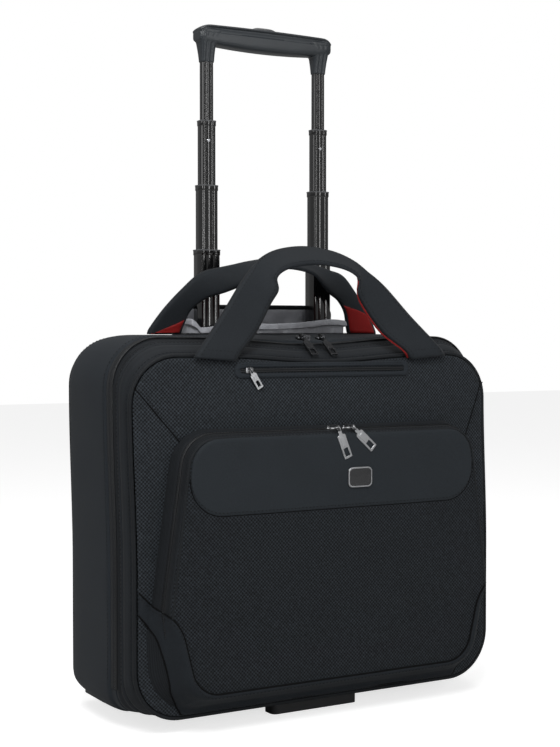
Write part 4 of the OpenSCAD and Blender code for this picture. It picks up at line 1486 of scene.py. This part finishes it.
def pull_tab(name, length, width, material, body, node, place, turn, window, neck=6.6):
    """a pull hanging from its pin: an eye on the pin, a neck, and a tab with an open end"""
    w = width / 2
    outer = rounded([(-1.7, -2.6), (-1.7, -neck), (-w, -neck - 1.2), (-w, -length), (w, -length),
                     (w, -neck - 1.2),
                     (1.7, -neck), (1.7, -2.6)], 0.7)
    hole = rounded([(-w + 1.5, -length + window), (-w + 1.3, -length + 1.6), (w - 1.3, -length + 1.6),
                    (w - 1.5, -length + window)], 0.6)
    tab = plate(name + "_tab", outer, [hole], 1.7 * MM, 0.35 * MM, material)
    ridge = rounded([(-w + 2.0, -length + window + 1.6), (w - 2.0, -length + window + 1.6),
                     (w - 2.2, -neck - 3),
                     (-w + 2.2, -neck - 3)], 0.6)
    raised = plate(name + "_ridge", ridge, [], 2.3 * MM, 0.35 * MM, material)
    turn_at = np.linspace(0, 2 * np.pi, 28, endpoint=False)
    eye_path = EYE_RADIUS * np.column_stack([np.zeros(28), np.sin(turn_at), np.cos(turn_at)])
    eye = tube(name + "_eye", eye_path, 0.7 * MM, material, 10, closed=True)
    pull = joined(name, [tab, raised, eye])
    turned(pull, place, turn)
    declare(pull, "pull_metal", body, node)


def slider_body(name, material, body, node, place, turn, reach, width=8.0, long=11.0):
    """a slider on its coils: a waisted body and a bridge that holds the pull's pin"""
    outline = []
    for x, y in superellipse(long / 2, width / 2, 3.4, 56):
        waist = 1 - 0.16 * math.exp(-(x / (long * 0.22)) ** 2) + 0.03 * (x > 0)
        outline.append((x, y * waist))
    outline = np.array(outline)
    rows = []
    for shrink, z in ((0.9, 0.0), (1.0, 0.4), (1.0, 1.9), (0.95, 2.5), (0.84, 2.9)):
        rows.append(np.column_stack([outline * shrink, np.full(len(outline), z)]) * MM)
    parts = [grid(name + "_base", np.array(rows), material, wrap=True, caps=True)]
    crown = catmull([(0, 2.8, 2.2), (0, 2.4, 4.3), (0, 0.2, 5.0), (0, -reach + 1.2, 4.9),
                     (0, -reach - 1.5, 3.8),
                     (0, -reach - 1.2, 2.2)], 36) * MM
    parts.append(tube(name + "_bridge", crown, 1.35 * MM, material, 10, squash=0.55))
    pin = np.array([(-2.6, -reach, 3), (2.6, -reach, 3)]) * MM
    parts.append(tube(name + "_pin", pin, 0.85 * MM, material, 12))
    obj = joined(name, parts)
    turned(obj, place, turn)
    declare(obj, "slider_metal", body, node)


MAIN_X, POCKET_X, SLIP_X = [-6, 17], [-3, 15], -86
PULL_PLANE = -99.8 * MM
DROOP = 3.0 * MM                # the cloth zip sags under the sliders


def make_sliders():
    slope = math.degrees(math.atan2(CASE_TOP - FRONT_TOP, Y_ZIP - Y_PIPING))
    tilt = math.radians(slope / 2)
    for i, side in enumerate(("left", "right")):
        base = Vector((MAIN_X[i] * MM, Y_ZIP, CASE_TOP + 0.9 * MM))
        pin = base + Vector((0, -5 * math.cos(tilt) - 3 * math.sin(tilt), -5 * math.sin(tilt)
                             + 3 * math.cos(tilt))) * MM
        slider_body("main_slider_%s_body" % side, GUNMETAL, "main_slider_" + side[0], "main_slider_" + side,
                    base + Vector((0, 0, -DROOP)), (slope / 2, 0, 0), 5.0)
        pull_tab("main_pull_%s_tab" % side, 28, 8.2, GUNMETAL, "main_tab_" + side[0], "main_pull_" + side,
                 pin + Vector((0, 0, -DROOP)), (-90 + slope + 7, 0, 0), 9.5)
        top = pocket_high.z
        slider_body("pocket_slider_%s_body" % side, BRIGHT, "pocket_slider_" + side[0],
                    "pocket_slider_" + side,
                    (POCKET_X[i] * MM, Y_POCKET_ZIP, top - 2.2 * MM), (0, 0, 0), 14.5)
        pull_tab("pocket_pull_%s_tab" % side, 31, 8.6, BRIGHT, "pocket_tab_" + side[0],
                 "pocket_pull_" + side,
                 (POCKET_X[i] * MM, PULL_PLANE, top), (0, (-22, -48)[i], 0), 10.5)
    lock = plate("main_lock", rounded([(-2.5, -3), (-2.5, 2.5), (2.5, 2.5), (2.5, -3)], 1.0),
                 [rounded([(-0.8, -1.5), (-0.8, 1), (0.8, 1), (0.8, -1.5)], 0.5)], 3.4 * MM, 0.5 * MM,
                 GUNMETAL)
    lock.data.transform(Matrix.Translation((MAIN_X[0] * MM + 6.2 * MM, Y_ZIP - 3 * MM,
                                            CASE_TOP + 2.4 * MM - DROOP)))
    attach(lock, "main_slider_l")
    slip_z = (slip_low.z + slip_high.z) / 2
    slider_body("slip_slider_shell", BRIGHT, "slip_slider_body", "slip_slider",
                (SLIP_X * MM, Y_FRONT - 1.6 * MM, slip_z), (90, 0, 0), 0.4, width=6.4, long=9.0)
    pull_tab("slip_pull_tab", 20, 6.6, BRIGHT, "slip_tab", "slip_pull",
             (SLIP_X * MM, Y_FRONT - 6.1 * MM, slip_z), (0, -32, 0), 8.5, neck=3.6)


def make_plaque(surface):
    low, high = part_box("pocket_badge")
    c = (low + high) / 2
    w, h = (high.x - low.x) / 2 / MM, (high.z - low.z) / 2 / MM
    outer = rounded([(-w, -h), (-w, h), (w, h), (w, -h)], 4.5)
    back = plate("plaque_rim", outer, [], 2.0 * MM, 0.5 * MM, BRIGHT)
    face = plate("plaque_face", rounded([(-w + 1.2, -h + 1.2), (-w + 1.2, h - 1.2), (w - 1.2, h - 1.2),
                                         (w - 1.2, -h + 1.2)], 3.6), [], 2.4 * MM, 0.35 * MM, PLAQUE)
    plaque = joined("pocket_plaque", [back, face])
    plaque.data.transform(Matrix.Translation((c.x, surface.at(c.x, c.z) - 0.7 * MM, c.z)))
    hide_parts("pocket_badge")
    return plaque


# ---------------------------------------------------------------- wheels and hard parts

def make_wheels():
    for name in ("left", "right"):
        low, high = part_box("tyre_" + name)
        c = (low + high) / 2
        r, half = (high.z - low.z) / 2 / MM, (high.x - low.x) / 2 / MM
        # millimetres from here: (radius, distance from the wheel's middle)
        tread = [(r - 8, half - 1.0), (r - 5, half), (r - 2.2, half - 0.3), (r - 0.5, half - 2.0),
                 (r, half - 4.5)]
        grooves = []
        for g in (half - 6.5, 0.0, -half + 6.5):
            grooves += [(r, g + 0.9), (r - 0.9, g + 0.5), (r - 0.9, g - 0.5), (r, g - 0.9)]
        profile = tread + grooves + [(a, -b) for a, b in tread[::-1]]
        tyre = lathe("tyre_%s_tread" % name, profile + [profile[0]], tuple(c), (1, 0, 0), RUBBER, 72)
        core = lathe("wheel_%s_rim" % name, [(6.2, half - 1.5), (7.0, half - 0.6), (r - 9.6, half - 2.4),
                     (r - 8.3, half - 1.4), (r - 8.3, -half + 1.4), (r - 9.6, -half + 2.4),
                     (7.0, -half + 0.6),
                     (6.2, -half + 1.5), (6.2, half - 1.5)], tuple(c), (1, 0, 0), CHASSIS, 60)
        parts = [core]
        for k in range(5):
            turn = k * 2 * math.pi / 5
            for face in (-1, 1):
                path = [np.array(c) + [face * (half - 1.6) * MM, q * MM * math.sin(turn),
                                       q * MM * math.cos(turn)]
                        for q in np.linspace(6.5, r - 9.2, 6)]
                parts.append(tube("spoke", path, 1.5 * MM, CHASSIS, 8))
        hub = joined("wheel_%s_spokes" % name, parts)
        declare(tyre, "tyre_rubber", "wheel_" + name, "tyre_" + name)
        declare(hub, "hub_plastic", "wheel_" + name, "hub_" + name)


def finish_hard_parts():
    """hard parts keep their own bodies, with a material and softened edges"""
    for node, material, width in (("wheel_housings", CHASSIS, 1.6), ("front_foot", CHASSIS, 2.0),
                                  ("bottom_chassis", CHASSIS, 1.0), ("tube_base_bracket", CHASSIS, 1.0),
                                  ("well_bezel", CHASSIS, 0.8), ("outer_tubes", ALLOY, 0.5),
                                  ("wheel_axles", STEEL, 0.5),
                                  ("base_screws", STEEL, 0.5), ("grip_screws", STEEL, 0.5),
                                  ("release_rods", STEEL, 0.3), ("button_spring", STEEL, 0)):
        obj = bpy.data.objects[node]
        obj.data.materials.clear()
        obj.data.materials.append(material)
        if width:
            weld = obj.modifiers.new("weld", "WELD")
            weld.merge_threshold = 0.01 * MM
            bevel(obj, width * MM, 3, 40)


# ---------------------------------------------------------------- inside

SEAM_HALF, SEAM_STEP = 3.2 * MM, 70 * MM    # the sleeve's quilting seams
SWELL_MOST = 4.5 * MM                       # how far its padding may swell
SIM_FRAMES = 20


def make_interior():
    low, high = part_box("tube_cover")
    outline = box_line(low.x, high.x, low.z, high.z, 8 * MM)

    def quilt(x, z):
        u, v = (x + z) / (34 * MM), (x - z) / (34 * MM)
        puff = abs(math.sin(u)) ** 0.5 * abs(math.sin(v)) ** 0.5
        return high.y - 1.2 * MM - 1.2 * MM * puff + 0.5 * MM * noise.noise(Vector((x, 0, z)) / (40 * MM))

    cover = patch("tube_cover_quilt", outline, 4.5 * MM, PADDED, quilt, lift=0.6 * MM, roll=5 * MM,
                  skirt=False)
    thicken(cover, 0.8 * MM)
    applied(cover)
    declare(cover, "padded_lining", "case", "tube_cover")

    low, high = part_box("laptop_sleeve")
    c, size = (low + high) / 2, (high - low) * 0.96
    bpy.ops.mesh.primitive_cube_add(size=1, location=c)
    sleeve = bpy.context.active_object
    sleeve.name = sleeve.data.name = "laptop_sleeve_pad"
    for v in sleeve.data.vertices:
        v.co = Vector((v.co.x * size.x, v.co.y * size.y * 0.5, v.co.z * size.z))
    sleeve.data.materials.clear()
    sleeve.data.materials.append(PADDED)
    bevel(sleeve, 5 * MM, 3)
    applied(sleeve)
    m = sleeve.modifiers.new("skin", "REMESH")
    m.mode, m.voxel_size = "VOXEL", 6 * MM
    applied(sleeve)
    group = sleeve.vertex_groups.new(name="seams")
    held = []
    for v in sleeve.data.vertices:
        x, y, z = v.co
        at_edge = size.x / 2 - abs(x) < 5 * MM or size.z / 2 - abs(z) < 5 * MM
        on_seam = min(abs(x + k * SEAM_STEP) for k in (-2, -1, 0, 1, 2)) < SEAM_HALF and y < 0
        across = abs(z - 0.32 * size.z) < SEAM_HALF
        if at_edge or on_seam or across:
            held.append(v.index)
    group.add(held, 1.0, "REPLACE")
    start = np.array([tuple(v.co) for v in sleeve.data.vertices])
    cloth = sleeve.modifiers.new("padding", "CLOTH")
    cloth.settings.use_pressure = True
    cloth.settings.uniform_pressure_force = 4.0
    cloth.settings.vertex_group_mass = "seams"
    cloth.settings.effector_weights.gravity = 0
    cloth.settings.quality = 6
    cloth.point_cache.frame_start, cloth.point_cache.frame_end = 1, SIM_FRAMES
    for frame_number in range(1, SIM_FRAMES + 1):
        bpy.context.scene.frame_set(frame_number)
    graph = bpy.context.evaluated_depsgraph_get()
    moved = np.array([tuple(v.co) for v in sleeve.evaluated_get(graph).data.vertices])
    sleeve.modifiers.clear()
    step = moved - start
    far = np.linalg.norm(step, axis=1)
    step *= np.minimum(1, SWELL_MOST / np.maximum(far, 1e-9))[:, None]
    for v, p in zip(sleeve.data.vertices, start + step):
        v.co = p
    bpy.context.scene.frame_set(1)
    refine(sleeve, 1)
    applied(sleeve)
    sleeve.data.polygons.foreach_set("use_smooth", [True] * len(sleeve.data.polygons))
    planar_weave(sleeve)
    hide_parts("laptop_sleeve")
    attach(sleeve, "case")


def planar_weave(obj):
    """the weave laid flat on X and Z"""
    layer = obj.data.uv_layers.get("weave") or obj.data.uv_layers.new(name="weave")
    place = obj.matrix_world
    for loop in obj.data.loops:
        p = place @ obj.data.vertices[loop.vertex_index].co
        layer.data[loop.index].uv = (p.x, p.z)


# ---------------------------------------------------------------- camera, floor and light

AMBIENT = 0.28                  # the backdrop's strength as a light; the eye sees it at 1
FLOOR_GLOW = 0.72               # added for the eye only, so that the floor is as pale as the backdrop
CAMERA_PLACE = (-0.742, -1.256, 0.378)
CAMERA_YAW, CAMERA_PITCH = math.radians(30.2), math.radians(-1.6)
LENS, SENSOR = 67.86, 36
LIGHTS = [                      # name, place, what it points at, size, watts
    ("key", (-0.62, -0.80, 1.20), (-0.05, 0, 0.30), (0.5, 0.5), 10),
    ("fill", (1.5, -1.8, 1.6), (0, 0, 0.4), (0.9, 0.9), 2),
    ("side", (-1.9, 0.1, 1.0), (-0.2, 0, 0.25), (0.9, 0.9), 4),
    ("top", (0.2, 0.6, 2.4), (0, 0, 0.3), (1.6, 1.2), 12),
    ("strip_front", (0.77, -2.0, 0.75), (0, 0.05, 0.55), (0.14, 1.6), 7),
    ("strip_side", (-0.4, -2.2, 0.75), (0, 0.05, 0.55), (0.10, 1.6), 5)]


def make_stage():
    scene = bpy.context.scene
    scene.view_settings.view_transform = "Standard"
    scene.view_settings.look = "None"
    world = bpy.data.worlds.new("studio")
    scene.world = world
    world.use_nodes = True
    # the backdrop is white to the eye and dimmer as a light, as a lit paper roll behind the object is
    tree = world.node_tree
    seen = tree.nodes.new("ShaderNodeLightPath").outputs["Is Camera Ray"]
    level = tree.nodes.new("ShaderNodeMapRange")
    level.inputs["To Min"].default_value = AMBIENT
    level.inputs["To Max"].default_value = 1.0
    tree.links.new(seen, level.inputs["Value"])
    tree.links.new(level.outputs["Result"], tree.nodes["Background"].inputs["Strength"])
    tree.nodes["Background"].inputs["Color"].default_value = (1, 1, 1, 1)

    paper = Shader("pale floor", (0.62, 0.62, 0.62), 0.9, specular=0.0)
    paper.shade_by(paper.noise(0.4), 0.99, 1.01)
    seen = paper.add("ShaderNodeLightPath").outputs["Is Camera Ray"]
    glow = paper.math("MULTIPLY", seen, FLOOR_GLOW)
    paper.links.new(glow, paper.shader.inputs["Emission Strength"])
    paper.shader.inputs["Emission Color"].default_value = (1, 1, 1, 1)
    floor = mesh_object("floor", [(-6, -6, 0), (6, -6, 0), (6, 6, 0), (-6, 6, 0)], [(0, 1, 2, 3)],
                        paper.done(), flat=True)

    camera = bpy.data.objects.new("camera", bpy.data.cameras.new("camera"))
    scene.collection.objects.link(camera)
    camera.location = CAMERA_PLACE
    level_part = math.cos(CAMERA_PITCH)
    ahead = Vector((math.sin(CAMERA_YAW) * level_part, math.cos(CAMERA_YAW) * level_part,
                    math.sin(CAMERA_PITCH)))
    camera.rotation_euler = ahead.to_track_quat("-Z", "Y").to_euler()
    camera.data.lens, camera.data.sensor_width = LENS, SENSOR
    camera.data.clip_start, camera.data.clip_end = 0.05, 50
    scene.camera = camera

    for name, place, target, size, watts in LIGHTS:
        light = bpy.data.objects.new(name, bpy.data.lights.new(name, "AREA"))
        scene.collection.objects.link(light)
        light.data.shape = "RECTANGLE"
        light.data.size, light.data.size_y = size
        light.data.energy = watts
        light.location = place
        light.rotation_euler = (Vector(target) - Vector(place)).to_track_quat("-Z", "Y").to_euler()


make_stage()
make_shells()
make_zip()
make_piping()
front_panel = make_front()
rear_wall, front_wall, pocket_panel = make_pocket()
make_wave([front_panel, rear_wall, front_wall, pocket_panel])
make_seams(front_panel)
make_slip_pocket(front_panel)
pocket_extras(pocket_panel, front_wall)
make_back()
make_handles()
make_well()
make_flap()
make_trolley()
make_grip()
make_sliders()
make_wheels()
finish_hard_parts()
make_interior()
